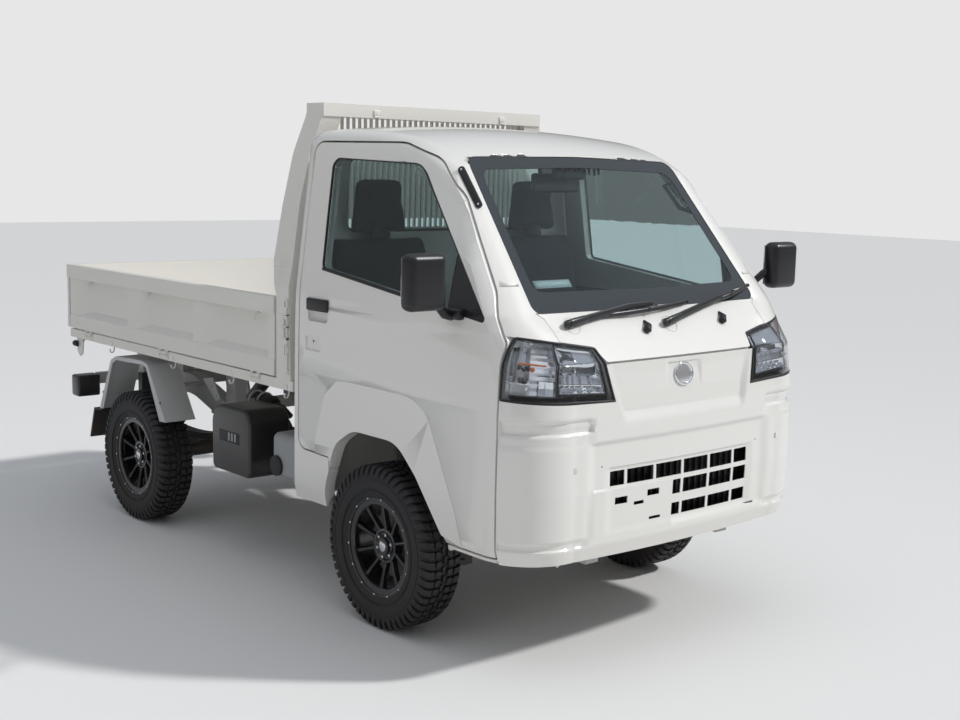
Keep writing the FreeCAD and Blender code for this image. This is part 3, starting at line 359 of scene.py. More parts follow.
def cloth_material(name, colour, thread):
    """A plain weave: two crossed bands of threads, in object coordinates."""
    material = bpy.data.materials.new(name)
    material.use_nodes = True
    tree = material.node_tree
    shader = tree.nodes["Principled BSDF"]
    coords = tree.nodes.new("ShaderNodeTexCoord")
    heights = []
    for direction in ("X", "Z"):
        wave = tree.nodes.new("ShaderNodeTexWave")
        wave.bands_direction = direction
        wave.inputs["Scale"].default_value = 1 / thread
        wave.inputs["Distortion"].default_value = 0.6
        tree.links.new(coords.outputs["Object"], wave.inputs["Vector"])
        heights.append(wave.outputs["Fac"])
    weave = math_node(tree, "MULTIPLY", heights[0], heights[1])
    tone = place_group(tree, TONE, Base=(*colour, 1), Scale=9.0, Drift=0.25)
    mix = tree.nodes.new("ShaderNodeMix")
    mix.data_type = "RGBA"
    mix.inputs[7].default_value = (colour[0] * 2.2, colour[1] * 2.2, colour[2] * 2.2, 1)
    tree.links.new(weave, mix.inputs["Factor"])
    tree.links.new(tone.outputs["Color"], mix.inputs[6])
    tree.links.new(mix.outputs[2], shader.inputs["Base Color"])
    bump = tree.nodes.new("ShaderNodeBump")
    bump.inputs["Distance"].default_value = thread * 0.4
    tree.links.new(weave, bump.inputs["Height"])
    tree.links.new(bump.outputs[0], shader.inputs["Normal"])
    shader.inputs["Roughness"].default_value = 0.9
    shader.inputs["Sheen Weight"].default_value = 0.25
    return material


materials["window_glass"] = glass_material("window_glass", (0.72, 0.84, 0.84), 0.0)
materials["lamp_lens"] = glass_material("lamp_lens", (0.93, 0.95, 0.97), 0.02)
materials["mirror_glass"] = finish_material("mirror_glass", (0.8, 0.83, 0.85), 0.02, 100, 0.0, drift=0.0,
                                            metal=1.0)
materials["seat_cloth"] = cloth_material("seat_cloth", (0.045, 0.05, 0.058), 0.004)
print("materials", len(materials))

# %% [markdown]
# ## Finishing the CAD nodes that stay
# A CAD node is a bag of separate triangles. It may not be edited, but modifiers are allowed: Weld joins the
# triangles again, and Edge Split keeps the real edges sharp while the curved panels shade smoothly.

# %% Dress the CAD nodes
STAY = {
    "white_paint": ("hood", "front_fenders"),
    "floor_paint": ("cab_floor",),
    "window_glass": ("door_glass_left", "door_glass_right", "rear_window"),
    "trim_dark": ("dashboard",),
    "chassis_paint": ("chassis_rails", "cross_members", "rear_mudguards", "rear_bar"),
    "cast_metal": ("engine", "knuckle_left", "knuckle_right"),
    "black_steel": ("propeller_shaft", "front_suspension", "rear_axle", "leaf_springs", "fuel_tank",
                    "exhaust",
                    "hoist_barrel"),
    "flap_rubber": ("mud_flaps",),
    "grey_plastic": ("air_cleaner",),
    "bed_paint": ("bed_deck", "guard_frame", "side_gate_left", "side_gate_right", "tailgate"),
    "bright_steel": ("hoist_rod",),
}
SHARP = math.radians(24)


def smooth_by_edges(obj):
    for face in obj.data.polygons:
        face.use_smooth = True
    weld = obj.modifiers.new("join_triangles", "WELD")
    weld.merge_threshold = 0.00002
    split = obj.modifiers.new("keep_edges", "EDGE_SPLIT")
    split.split_angle = SHARP


for finish, names in STAY.items():
    for name in names:
        obj = nodes[name]
        obj.data.materials.clear()
        obj.data.materials.append(materials[finish])
        smooth_by_edges(obj)
print("nodes that stay", sum(len(v) for v in STAY.values()), "of", len(nodes))

# %% [markdown]
# ## Tools for building shapes
# A `Shape` collects vertices and faces of several simple forms in one mesh, so that a wiper or a latch is one
# piece. Each form is built from its outline: a prism, a tube along a path, a turned ring or a rounded block.
# Some pieces then get a small bevel, because no pressed or moulded edge is perfectly sharp.

# %% Shape: prisms, tubes, rings and blocks
class Shape:
    def __init__(self):
        self.mesh = bmesh.new()

    def add(self, points, faces):
        made = [self.mesh.verts.new(p) for p in points]
        for face in faces:
            self.mesh.faces.new([made[i] for i in face])
        return self

    def prism(self, outline, low, high, axis="z"):
        """An outline extruded along an axis: 'x' takes (y, z), 'y' takes (x, z) and 'z' takes (x, y) points."""
        place = {"x": lambda a, b, c: (c, a, b),
                 "y": lambda a, b, c: (a, c, b),
                 "z": lambda a, b, c: (a, b, c)}[axis]
        n = len(outline)
        points = [place(a, b, c) for c in (low, high) for a, b in outline]
        sides = [(i, (i + 1) % n, n + (i + 1) % n, n + i) for i in range(n)]
        return self.add(points, sides + [tuple(range(n))[::-1], tuple(range(n, 2 * n))])

    def block(self, low, high):
        (x0, y0, z0), (x1, y1, z1) = low, high
        return self.prism([(x0, y0), (x1, y0), (x1, y1), (x0, y1)], z0, z1)

    def tube(self, path, radius, sides=10, closed=False, flat=1.0):
        """A round bar along a path; flat squeezes it across, and radius may be one value for each point."""
        points = [Vector(p) for p in path]
        n = len(points)
        radii = radius if isinstance(radius, (list, tuple)) else [radius] * n
        rings = []
        normal = None
        for i, p in enumerate(points):
            before = points[i - 1] if i or closed else p
            after = points[(i + 1) % n] if i < n - 1 or closed else p
            ahead = (after - before).normalized()
            if normal is None:
                seed = Vector((0, 0, 1)) if abs(ahead.z) < 0.9 else Vector((0, 1, 0))
                normal = ahead.cross(seed).normalized()
            normal = (normal - ahead * normal.dot(ahead)).normalized()
            across = ahead.cross(normal)
            rings.append([p + normal * math.cos(a) * radii[i] + across * math.sin(a) * radii[i] * flat
                          for a in (2 * math.pi * k / sides for k in range(sides))])
        points = [v for ring in rings for v in ring]
        spans = n if closed else n - 1
        faces = []
        for i in range(spans):
            j = (i + 1) % n
            faces += [(i * sides + k, i * sides + (k + 1) % sides, j * sides + (k + 1) % sides, j * sides + k)
                      for k in range(sides)]
        if not closed:
            faces += [tuple(range(sides))[::-1], tuple(range((n - 1) * sides, n * sides))]
        return self.add(points, faces)

    def turned(self, profile, centre, steps=64, closed=True):
        """A ring about a line along X through centre: profile points are (x, radius)."""
        n = len(profile)
        cx, cy, cz = centre
        points = [(cx + x, cy + r * math.sin(a), cz + r * math.cos(a))
                  for a in (2 * math.pi * k / steps for k in range(steps)) for x, r in profile]
        faces = []
        for k in range(steps):
            j = (k + 1) % steps
            for i in range(n if closed else n - 1):
                m = (i + 1) % n
                faces.append((k * n + i, k * n + m, j * n + m, j * n + i))
        return self.add(points, faces)

    def rounded(self, low, high, radius, segments=3):
        """A block with all its edges rounded."""
        part = bmesh.new()
        bmesh.ops.create_cube(part, size=1.0)
        low, high = Vector(low), Vector(high)
        middle, size = (low + high) / 2, high - low
        for v in part.verts:
            v.co = Vector((v.co.x * size.x, v.co.y * size.y, v.co.z * size.z)) + middle
        bmesh.ops.bevel(part, geom=list(part.edges), offset=radius, segments=segments, profile=0.5,
                        affect="EDGES")
        part.verts.index_update()
        self.add([v.co.copy() for v in part.verts], [[v.index for v in f.verts] for f in part.faces])
        part.free()
        return self

    def grid(self, rows, closed=False):
        """A sheet through rows of points; closed joins each row's end to its start."""
        n = len(rows[0])
        faces = []
        for i in range(len(rows) - 1):
            for k in range(n if closed else n - 1):
                j = (k + 1) % n
                faces.append((i * n + k, i * n + j, (i + 1) * n + j, (i + 1) * n + k))
        return self.add([p for row in rows for p in row], faces)

    def mirror_x(self):
        """Adds the mirror image of everything made so far."""
        before = list(self.mesh.verts)
        faces = [[v for v in f.verts] for f in self.mesh.faces]
        twin = {v: self.mesh.verts.new((-v.co.x, v.co.y, v.co.z)) for v in before}
        for loop in faces:
            self.mesh.faces.new([twin[v] for v in reversed(loop)])
        return self

    def flipped_x(self):
        """Turns everything made so far into its mirror image."""
        for v in self.mesh.verts:
            v.co.x = -v.co.x
        bmesh.ops.reverse_faces(self.mesh, faces=list(self.mesh.faces))
        return self

    def object(self, name):
        mesh = bpy.data.meshes.new(name)
        bmesh.ops.recalc_face_normals(self.mesh, faces=list(self.mesh.faces))
        self.mesh.to_mesh(mesh)
        self.mesh.free()
        made = bpy.data.objects.new(name, mesh)
        scene.collection.objects.link(made)
        return made


def bake(obj):
    """Applies all of an object's modifiers, so that what is left is a plain mesh."""
    bpy.context.view_layer.update()
    view = obj.evaluated_get(bpy.context.evaluated_depsgraph_get())
    mesh = bpy.data.meshes.new_from_object(view)
    obj.modifiers.clear()
    obj.data = mesh
    return obj


def piece(obj, body, slot, finish, bevel=0.0, smooth=30.0, replaces=(), segments=2):
    """Gives an object its finish, softened edges and body; the slot argument is not used."""
    if finish:
        obj.data.materials.clear()
        obj.data.materials.append(materials[finish])
    if bevel:
        rounding = obj.modifiers.new("soft_edges", "BEVEL")
        rounding.width, rounding.segments = bevel, segments
        rounding.limit_method, rounding.angle_limit = "ANGLE", math.radians(28)
        rounding.harden_normals = False
        bake(obj)
    obj.data.shade_smooth()
    if smooth:
        obj.data.set_sharp_from_angle(angle=math.radians(smooth))
    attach(obj, body)
    if replaces:
        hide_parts(*replaces)
    return obj


print("tools ready")

# %% [markdown]
# ## The cab's outer skin as a formula
# The bumper and the lamp lenses follow the cab's curved nose. The nose is a stack of plan sections: a gentle
# arc across the front, a tighter arc round each corner, and a straight side. `skin_point` walks along a
# section, 0 at mid width, 1 where the corner starts, 2 where it ends, and blends the two sections above and
# below a height.

# %% Nose sections and skin_point
NOSE_SECTIONS = (       # height, y at mid width, corner start x and y, corner end x and y, rear x
    (388, -1676, 500, -1652, 722, -1470, 722),
    (440, -1692, 515, -1668, 732, -1485, 732),
    (620, -1697.5, 520, -1676, 732.5, -1490, 732.5),
    (884, -1692, 520, -1670, 732.5, -1490, 732.5),
    (1036, -1665.5, 490, -1652, 731, -1488, 731),
    (1135, -1572, 500, -1564, 724, -1472, 729),
    (1190, -1517, 560, -1512, 718, -1440, 726),
    (1860, -962, 507, -958, 568, -940, 645),
)
CAB_BACK = -365


def arc_point(a, b, c, t):
    """A point at a share t of the circular arc from a to c through b, in the plane."""
    ax, ay, bx, by, cx, cy = *a, *b, *c
    d = 2 * (ax * (by - cy) + bx * (cy - ay) + cx * (ay - by))
    ux = ((ax**2 + ay**2) * (by - cy) + (bx**2 + by**2) * (cy - ay) + (cx**2 + cy**2) * (ay - by)) / d
    uy = ((ax**2 + ay**2) * (cx - bx) + (bx**2 + by**2) * (ax - cx) + (cx**2 + cy**2) * (bx - ax)) / d
    r = math.hypot(ax - ux, ay - uy)
    start, end = math.atan2(ay - uy, ax - ux), math.atan2(cy - uy, cx - ux)
    while end < start - math.pi:
        end += 2 * math.pi
    while end > start + math.pi:
        end -= 2 * math.pi
    angle = start + (end - start) * t
    return ux + r * math.cos(angle), uy + r * math.sin(angle)


def section_point(section, s, front=0.0, side=0.0):
    """A point of one section at s, moved in by the front and side thicknesses; s may be negative."""
    _, y_mid, x_c, y_c, x_s, y_s, x_r = section
    y_mid, y_c, y_s = y_mid + front, y_c + front, y_s + front
    x_s, x_r, x_c = x_s - side, x_r - side, x_c - side * 0.6
    u = abs(s)
    if u <= 1:
        x, y = arc_point((-x_c, y_c), (0, y_mid), (x_c, y_c), 0.5 + u / 2)
    elif u <= 2:
        turn = (x_c + (x_s - x_c) * math.sqrt(0.5), y_s + (y_c - y_s) * math.sqrt(0.5))
        x, y = arc_point((x_c, y_c), turn, (x_s, y_s), u - 1)
    else:
        x, y = x_s + (x_r - x_s) * (u - 2), y_s + (CAB_BACK - y_s) * (u - 2)
    return (x if s >= 0 else -x), y


def skin_point(s, z, front=0.0, side=0.0):
    """The point of the cab's skin at s and height z, in metres."""
    z = max(NOSE_SECTIONS[0][0], min(NOSE_SECTIONS[-1][0], z))
    for low, high in zip(NOSE_SECTIONS, NOSE_SECTIONS[1:]):
        if z <= high[0]:
            break
    t = (z - low[0]) / (high[0] - low[0])
    (x0, y0), (x1, y1) = section_point(low, s, front, side), section_point(high, s, front, side)
    return Vector((x0 + (x1 - x0) * t, y0 + (y1 - y0) * t, z)) * MM


def s_at_x(x, z):
    """Where along the section the skin is at a given x, by halving."""
    low, high = 0.0, 2.0
    for _ in range(30):
        middle = (low + high) / 2
        if skin_point(middle, z).x < abs(x) * MM:
            low = middle
        else:
            high = middle
    return math.copysign(low, x)


def s_at_y(y, z):
    """Where along the left corner the skin is at a given y."""
    low, high = 0.5, 3.0
    for _ in range(30):
        middle = (low + high) / 2
        if skin_point(middle, z).y < y * MM:
            low = middle
        else:
            high = middle
    return low


print("nose at bumper height", [round(v, 4) for v in skin_point(0, 620)])

# %% [markdown]
# ## Front bumper
# The real bumper is one moulded skin with a lot of relief: square corner blisters, a sunken middle with the
# grille, a ledge under the nose panel and a rolled lower lip. A grid over the skin is pushed in by a depth
# field, which adds up soft steps, one for each feature. The grille's openings are then cut with a Boolean,
# and Solidify gives the skin its wall.

# %% Depth field of the bumper
SEAM_X = -1528.0            # the bumper ends here, ahead of the doors
LAMP_CORNER = (350.0, 913.0)
LAMP_SLANT = (396 - 350) / (1083 - 913)
PANEL_GAP = 2.5
BUMPER_TOP = 1036.0 - PANEL_GAP + 2


def step(value, low, high):
    """0 below low, 1 above high, and a smooth rise between them."""
    t = max(0.0, min(1.0, (value - low) / (high - low)))
    return t * t * (3 - 2 * t)


def band(value, low, high, edge):
    """1 between low and high, falling to 0 over an edge on both sides."""
    return step(value, low - edge, low) * (1 - step(value, high, high + edge))


def bumper_depth(x, z):
    """How far the skin lies behind the cab's outline, in millimetres."""
    u = abs(x)
    depth = 0.0
    # the nose panel leans back between the lamps, and its foot curves out to the ledge
    panel_half = 318 + (z - 884) * 0.33
    inside = 1 - step(u, panel_half - 14, panel_half + 6)
    lean = 19 - 12 * step(z, 880, 1036)
    depth += inside * step(z, 822, 890) * lean
    # the middle is sunk below the ledge, down to the lip
    middle = (1 - step(u, 448, 462)) * band(z, 470, 772, 14)
    depth += 9 * middle
    # a groove runs over the corner blisters
    depth += 9 * step(u, 440, 456) * band(z, 826, 856, 12)
    depth += 4 * step(u, 440, 456) * band(z, 790, 826, 20)
    # the blister ends above the lip in a shallow groove
    depth += 6 * step(u, 452, 466) * band(z, 446, 462, 8)
    # the frame round the grille, and the raised panel for the number plate
    depth += 6 * band(x, -372, 366, 8) * band(z, 480, 686, 8)
    depth -= 10 * band(x, -440, -66, 5) * band(z, 452, 620, 5)
    # the square dish for the badge
    depth += 6 * band(x, -80, 82, 8) * band(z, 928, 1012, 8)
    return max(0.0, depth)


def make_bumper():
    low_z = 391.0
    rows_low, rows_high, per_side = 84, 18, 92
    inner = 52
    shape = Shape()

    def at(z, k):
        """Column k of a row: 0 is mid width, `inner` is the lamp's corner and `per_side` is the door seam."""
        side = 1 if k >= 0 else -1
        k = abs(k)
        corner_x = LAMP_CORNER[0] + max(0.0, z - LAMP_CORNER[1]) * LAMP_SLANT - PANEL_GAP
        if k <= inner:
            s = s_at_x(corner_x * k / inner, z)
            height = z
        else:
            s0, s1 = s_at_x(corner_x, z), s_at_y(SEAM_X, z)
            s = s0 + (s1 - s0) * (k - inner) / (per_side - inner)
            rise = (k - inner) / (per_side - inner) * 17 * step(z, 820, 910)
            height = z + rise
        bare = skin_point(s, height)
        depth = bumper_depth(side * bare.x / MM, height)
        p = skin_point(s, height, depth, depth)
        p.x *= side
        return p

    top_low = LAMP_CORNER[1] - PANEL_GAP
    heights = [low_z + (top_low - low_z) * i / rows_low for i in range(rows_low + 1)]
    columns = range(-per_side, per_side + 1)
    lower = [[at(z, k) for k in columns] for z in heights]
    # a rolled edge under the lip
    roll = [[Vector((p.x * 0.985, p.y + d * MM, p.z - h * MM)) for p in lower[0]]
            for d, h in ((34, -2), (26, 1.0), (12, 2.5), (3, 1.5))]
    shape.grid(roll + lower)
    upper = [top_low + (BUMPER_TOP - PANEL_GAP - top_low) * i / rows_high for i in range(rows_high + 1)]
    shape.grid([[at(z, k) for k in range(-inner, inner + 1)] for z in upper])
    bmesh.ops.remove_doubles(shape.mesh, verts=list(shape.mesh.verts), dist=0.0002)
    return shape.object("front_bumper_skin")


def grille_cutter():
    """Blocks where the grille is open: three rows, and the small cut-outs of the plate panel."""
    rows = ((487, 530), (561, 612), (628, 678))
    bars = (-363, -285, -147, -7, 134, 272, 359)
    holes = [(-340, -283, 566, 590), (-190, -132, 576, 598), (-252, -205, 553, 565), (-175, -120, 492, 502)]
    for low, high in rows:
        for x0, x1 in zip(bars, bars[1:]):
            x0 = x0 if high > 620 else max(x0, -60)
            if x1 - x0 > 24:
                holes.append((x0 + 6, x1 - 6, low, high))
    shape = Shape()
    for x0, x1, z0, z1 in holes:
        shape.block((x0 * MM, -1.8, z0 * MM), (x1 * MM, -1.5, z1 * MM))
    return shape.object("grille_cutter")


def cut(obj, cutter):
    boolean = obj.modifiers.new("cut", "BOOLEAN")
    boolean.object, boolean.operation, boolean.solver = cutter, "DIFFERENCE", "EXACT"
    bake(obj)
    bpy.data.objects.remove(cutter)
    return obj


bumper = make_bumper()
wall = bumper.modifiers.new("wall", "SOLIDIFY")
wall.thickness, wall.offset = 3.2 * MM, -1
bake(bumper)
cut(bumper, grille_cutter())
piece(bumper, "body", "bumper_paint", "white_paint", smooth=38, replaces=("front_bumper",))
print("bumper faces", len(bumper.data.polygons))

# %% [markdown]
# ## Copies of CAD nodes that get more shape
# The doors and the cab shell have the right form already, and only lack small hollows: the bowl behind a
# handle, the room behind the grille. A copy of the node's mesh is welded, cut with a Boolean, and stands for
# the node.

# %% Doors and cab shell
def from_node(node, name):
    """A new object with the node's mesh, its triangles joined."""
    made = bpy.data.objects.new(name, nodes[node].data.copy())
    made.data.materials.clear()
    scene.collection.objects.link(made)
    weld = made.modifiers.new("join_triangles", "WELD")
    weld.merge_threshold = 0.00002
    return bake(made)


HANDLE_Y = (-0.583, -0.447)
HANDLE_Z = (1.118, 1.165)
LOCK_YZ = (-0.484, 0.999)


def side_point(y, z, depth=0.0):
    """A point on the left side of the cab at y and z in millimetres, moved in by a depth."""
    return skin_point(s_at_y(y, z), z, depth, depth)


def door_cutter(side):
    """The bowl below the handle and the dish round the lock."""
    face = side_point(-515, 1130).x
    shape = Shape()
    shape.rounded((face - 0.016, HANDLE_Y[0] + 0.004, 1.078), (face + 0.05, HANDLE_Y[1] - 0.004, 1.160),
                  0.0155, 5)
    shape.rounded((face - 0.004, -0.535, 0.967), (face + 0.05, -0.437, 1.022), 0.0036, 3)
    if side < 0:
        shape.flipped_x()
    return shape.object("door_cutter")


for side, name in ((1, "left"), (-1, "right")):
    door = cut(from_node("door_" + name, "door_skin_" + name), door_cutter(side))
    piece(door, name + "_door", "white_paint", "white_paint", smooth=24, replaces=("door_" + name,))

GRILLE_ROOM = ((-0.398, -1.75, 0.468), (0.398, -1.650, 0.700))
room = Shape().block(*GRILLE_ROOM).object("grille_room")
shell = cut(from_node("cab_shell", "cab_shell_skin"), room)
piece(shell, "body", "white_paint", "white_paint", smooth=24, replaces=("cab_shell",))
print("doors and shell cut")

# %% [markdown]
# Behind the grille there is a black duct with fine bars, so that its openings look deep and dark.

# %% Grille duct
DUCT_FRONT_Y = -1.674
DUCT_BARS = 24


def make_duct():
    (x0, _, z0), (x1, y1, z1) = GRILLE_ROOM
    back = y1 + 0.024
    shape = Shape().block((x0 - 0.01, back, z0 - 0.01), (x1 + 0.01, back + 0.004, z1 + 0.01))
    for z in (z0, z1):
        shape.block((x0 - 0.004, DUCT_FRONT_Y, z - 0.002), (x1 + 0.004, back, z + 0.002))
    for i in range(DUCT_BARS):
        x = x0 + (x1 - x0) * (i + 0.5) / DUCT_BARS
        shape.block((x - 0.0015, back - 0.010, z0), (x + 0.0015, back, z1))
    return shape.object("grille_duct")


piece(make_duct(), "body", "black_plastic", "seal_rubber", smooth=20)
print("duct made")

# %% [markdown]
# ## Windshield
# The pane follows the skin. Rings of points run inwards from its rounded outline; the outermost ring carries
# the dark border that is baked on to such glass, and the rest is clear. A rubber bead fills the groove round
# it.

# %% Windshield and its bead
def rounded_loop(corners, steps=8):
    """Points round a polygon whose corners (a, b, radius) are rounded."""
    loop = []
    for i, (a, b, radius) in enumerate(corners):
        here = Vector((a, b))
        u = (Vector(corners[i - 1][:2]) - here).normalized()
        v = (Vector(corners[(i + 1) % len(corners)][:2]) - here).normalized()
        if not radius:
            loop.append(here)
            continue
        half = u.angle(v) / 2
        centre = here + (u + v).normalized() * radius / math.sin(half)
        start = here + u * radius / math.tan(half) - centre
        end = here + v * radius / math.tan(half) - centre
        loop += [centre + start.lerp(end, k / steps).normalized() * radius for k in range(steps + 1)]
    return loop


def even_loop(loop, count):
    """The same loop as a number of points at even distances."""
    lengths = [(loop[(i + 1) % len(loop)] - p).length for i, p in enumerate(loop)]
    total, done, i = sum(lengths), 0.0, 0
    points = []
    for k in range(count):
        want = total * k / count
        while done + lengths[i] < want:
            done += lengths[i]
            i += 1
        points.append(loop[i].lerp(loop[(i + 1) % len(loop)], (want - done) / max(lengths[i], 1e-9)))
    return points


def front_point(x, z, depth=0.0):
    """A point on the front of the cab at x and z in millimetres, moved in by a depth."""
    return skin_point(s_at_x(x, z), z, depth, 0)


PANE_EDGE = [(-567, 1192, 30), (0, 1188, 0), (567, 1192, 30), (519, 1692, 45), (0, 1704, 0), (-519, 1692, 45)]
BORDER_EDGE = [(-516, 1256, 34), (0, 1250, 0), (516, 1256, 34), (480, 1652, 46), (0, 1664, 0),
               (-480, 1652, 46)]
PANE_DEPTH = 3.0
RING = 180


def make_pane():
    outer = even_loop(rounded_loop(PANE_EDGE), RING)
    border = even_loop(rounded_loop(BORDER_EDGE), RING)
    middle = Vector((0, 1450))
    shares = (0.92, 0.82, 0.7, 0.56, 0.4, 0.22)
    loops = [outer, border] + [[middle + (p - middle) * share for p in border] for share in shares]
    shape = Shape()
    rows = [[front_point(p.x, p.y, PANE_DEPTH) for p in loop] for loop in loops]
    shape.grid(rows, closed=True)
    centre = shape.mesh.verts.new(front_point(middle.x, middle.y, PANE_DEPTH))
    bmesh.ops.remove_doubles(shape.mesh, verts=list(shape.mesh.verts), dist=0.00001)
    shape.mesh.verts.ensure_lookup_table()
    last = [v for v in shape.mesh.verts if v.is_boundary and (v.co - centre.co).length < 0.15]
    last.sort(key=lambda v: math.atan2(v.co.z - centre.co.z, v.co.x))
    for a, b in zip(last, last[1:] + last[:1]):
        shape.mesh.faces.new((a, b, centre))
    pane = shape.object("windshield_pane")
    pane.data.materials.append(materials["window_glass"])
    pane.data.materials.append(materials["baked_border"])
    for face in list(pane.data.polygons)[:RING]:
        face.material_index = 1
    thick = pane.modifiers.new("thickness", "SOLIDIFY")
    thick.thickness, thick.offset = 5 * MM, -1
    return bake(pane)


materials["baked_border"] = finish_material("baked_border", (0.035, 0.042, 0.048), 0.10, 80, 0.0, drift=0.0,
                                            coat=0.6)
piece(make_pane(), "body", "glass", None, smooth=40, replaces=("windshield",))


def bead(name, corners, point, body, radius=4.5, depth=2.0, flat=1.0):
    loop = even_loop(rounded_loop(corners), RING)
    shape = Shape().tube([point(p.x, p.y, depth) for p in loop], radius * MM, sides=8, closed=True, flat=flat)
    return piece(shape.object(name), body, "black_plastic", "seal_rubber", smooth=60)


bead("windshield_bead", PANE_EDGE, front_point, "body", radius=2.6, depth=4.4)
REAR_PANE_EDGE = [(-520, 1400, 45), (520, 1400, 45), (500, 1690, 45), (-500, 1690, 45)]
bead("rear_window_bead", REAR_PANE_EDGE, lambda x, z, d: Vector((x, -383, z)) * MM, "body", radius=9)
print("windshield made")

# %% [markdown]
# ## Headlamps
# Each lamp is a clear cover over a housing with two bays. `lamp_point` gives a place in the lamp: how far out
# it is from the inner edge to the door seam, how far up, and how deep. The inner bay is a chrome bowl with a
# fluted lower half and a grey band over the bulb; the outer bay is silver with level ribs, an amber bulb and
# a small clear reflector at its foot.

# %% Headlamps
LAMP_OUT_Y = -1531.0


def lamp_point(t, v, depth=0.0):
    s0 = s_at_x(352 + 40 * v, 913 + 170 * v)
    s1 = s_at_y(LAMP_OUT_Y, 930 + 207 * v)
    s = s0 + (s1 - s0) * t
    z = 913 + 170 * v
    for _ in range(3):
        x = skin_point(s, z).x / MM
        z = (914 + 0.0442 * (x - 350)) * (1 - v) + (1082 + 0.164 * (x - 396)) * v
    return skin_point(s, z, depth, depth)


def lamp_sheet(shape, t, v, depth, columns, rows):
    """A sheet over a part of the lamp; depth is a function of its own two shares."""
    made = [[lamp_point(t[0] + (t[1] - t[0]) * i / columns, v[0] + (v[1] - v[0]) * k / rows,
                        depth(i / columns, k / rows)) for i in range(columns + 1)] for k in range(rows + 1)]
    shape.grid(made)
    return shape


def lamp_frame(shape, t, v, near, far, steps=14):
    """The four walls of a bay, from a near to a far depth."""
    loop = [(t[0] + (t[1] - t[0]) * i / steps, v[0]) for i in range(steps)]
    loop += [(t[1], v[0] + (v[1] - v[0]) * i / steps) for i in range(steps)]
    loop += [(t[1] - (t[1] - t[0]) * i / steps, v[1]) for i in range(steps)]
    loop += [(t[0], v[1] - (v[1] - v[0]) * i / steps) for i in range(steps)]
    shape.grid([[lamp_point(a, b, d) for a, b in loop] for d in (near, (near + far) / 2, far)], closed=True)
    return loop


def bowl(a, b):
    """The headlamp's reflector: a deep bowl whose lower half is fluted, with a ledge under the bulb."""
    round_part = math.sqrt(max(0.0, (1 - (2 * a - 1) ** 2))) * math.sqrt(max(0.0, 1 - (2 * b - 1) ** 2))
    flutes = 5 * abs(math.sin(a * 6 * math.pi)) * step(b, 0.08, 0.16) * (1 - step(b, 0.36, 0.42))
    ledge = 9 * (1 - step(b, 0.38, 0.44 + 0.03 * math.sin(a * 21))) * step(b, 0.06, 0.20)
    return 12 + 42 * round_part ** 0.8 - flutes - ledge


def ribs(a, b):
    """The turn signal's reflector: level ribs on its outer side and two upright bowls on its inner side."""
    level = 5 * (1 - abs(2 * ((b * 7) % 1) - 1)) * (1 - step(a, 0.50, 0.6))
    hollow = 26 * band(b, 0.30, 0.86, 0.12) * (band(a, 0.60, 0.70, 0.08) + band(a, 0.84, 0.92, 0.06))
    return 22 + level + hollow


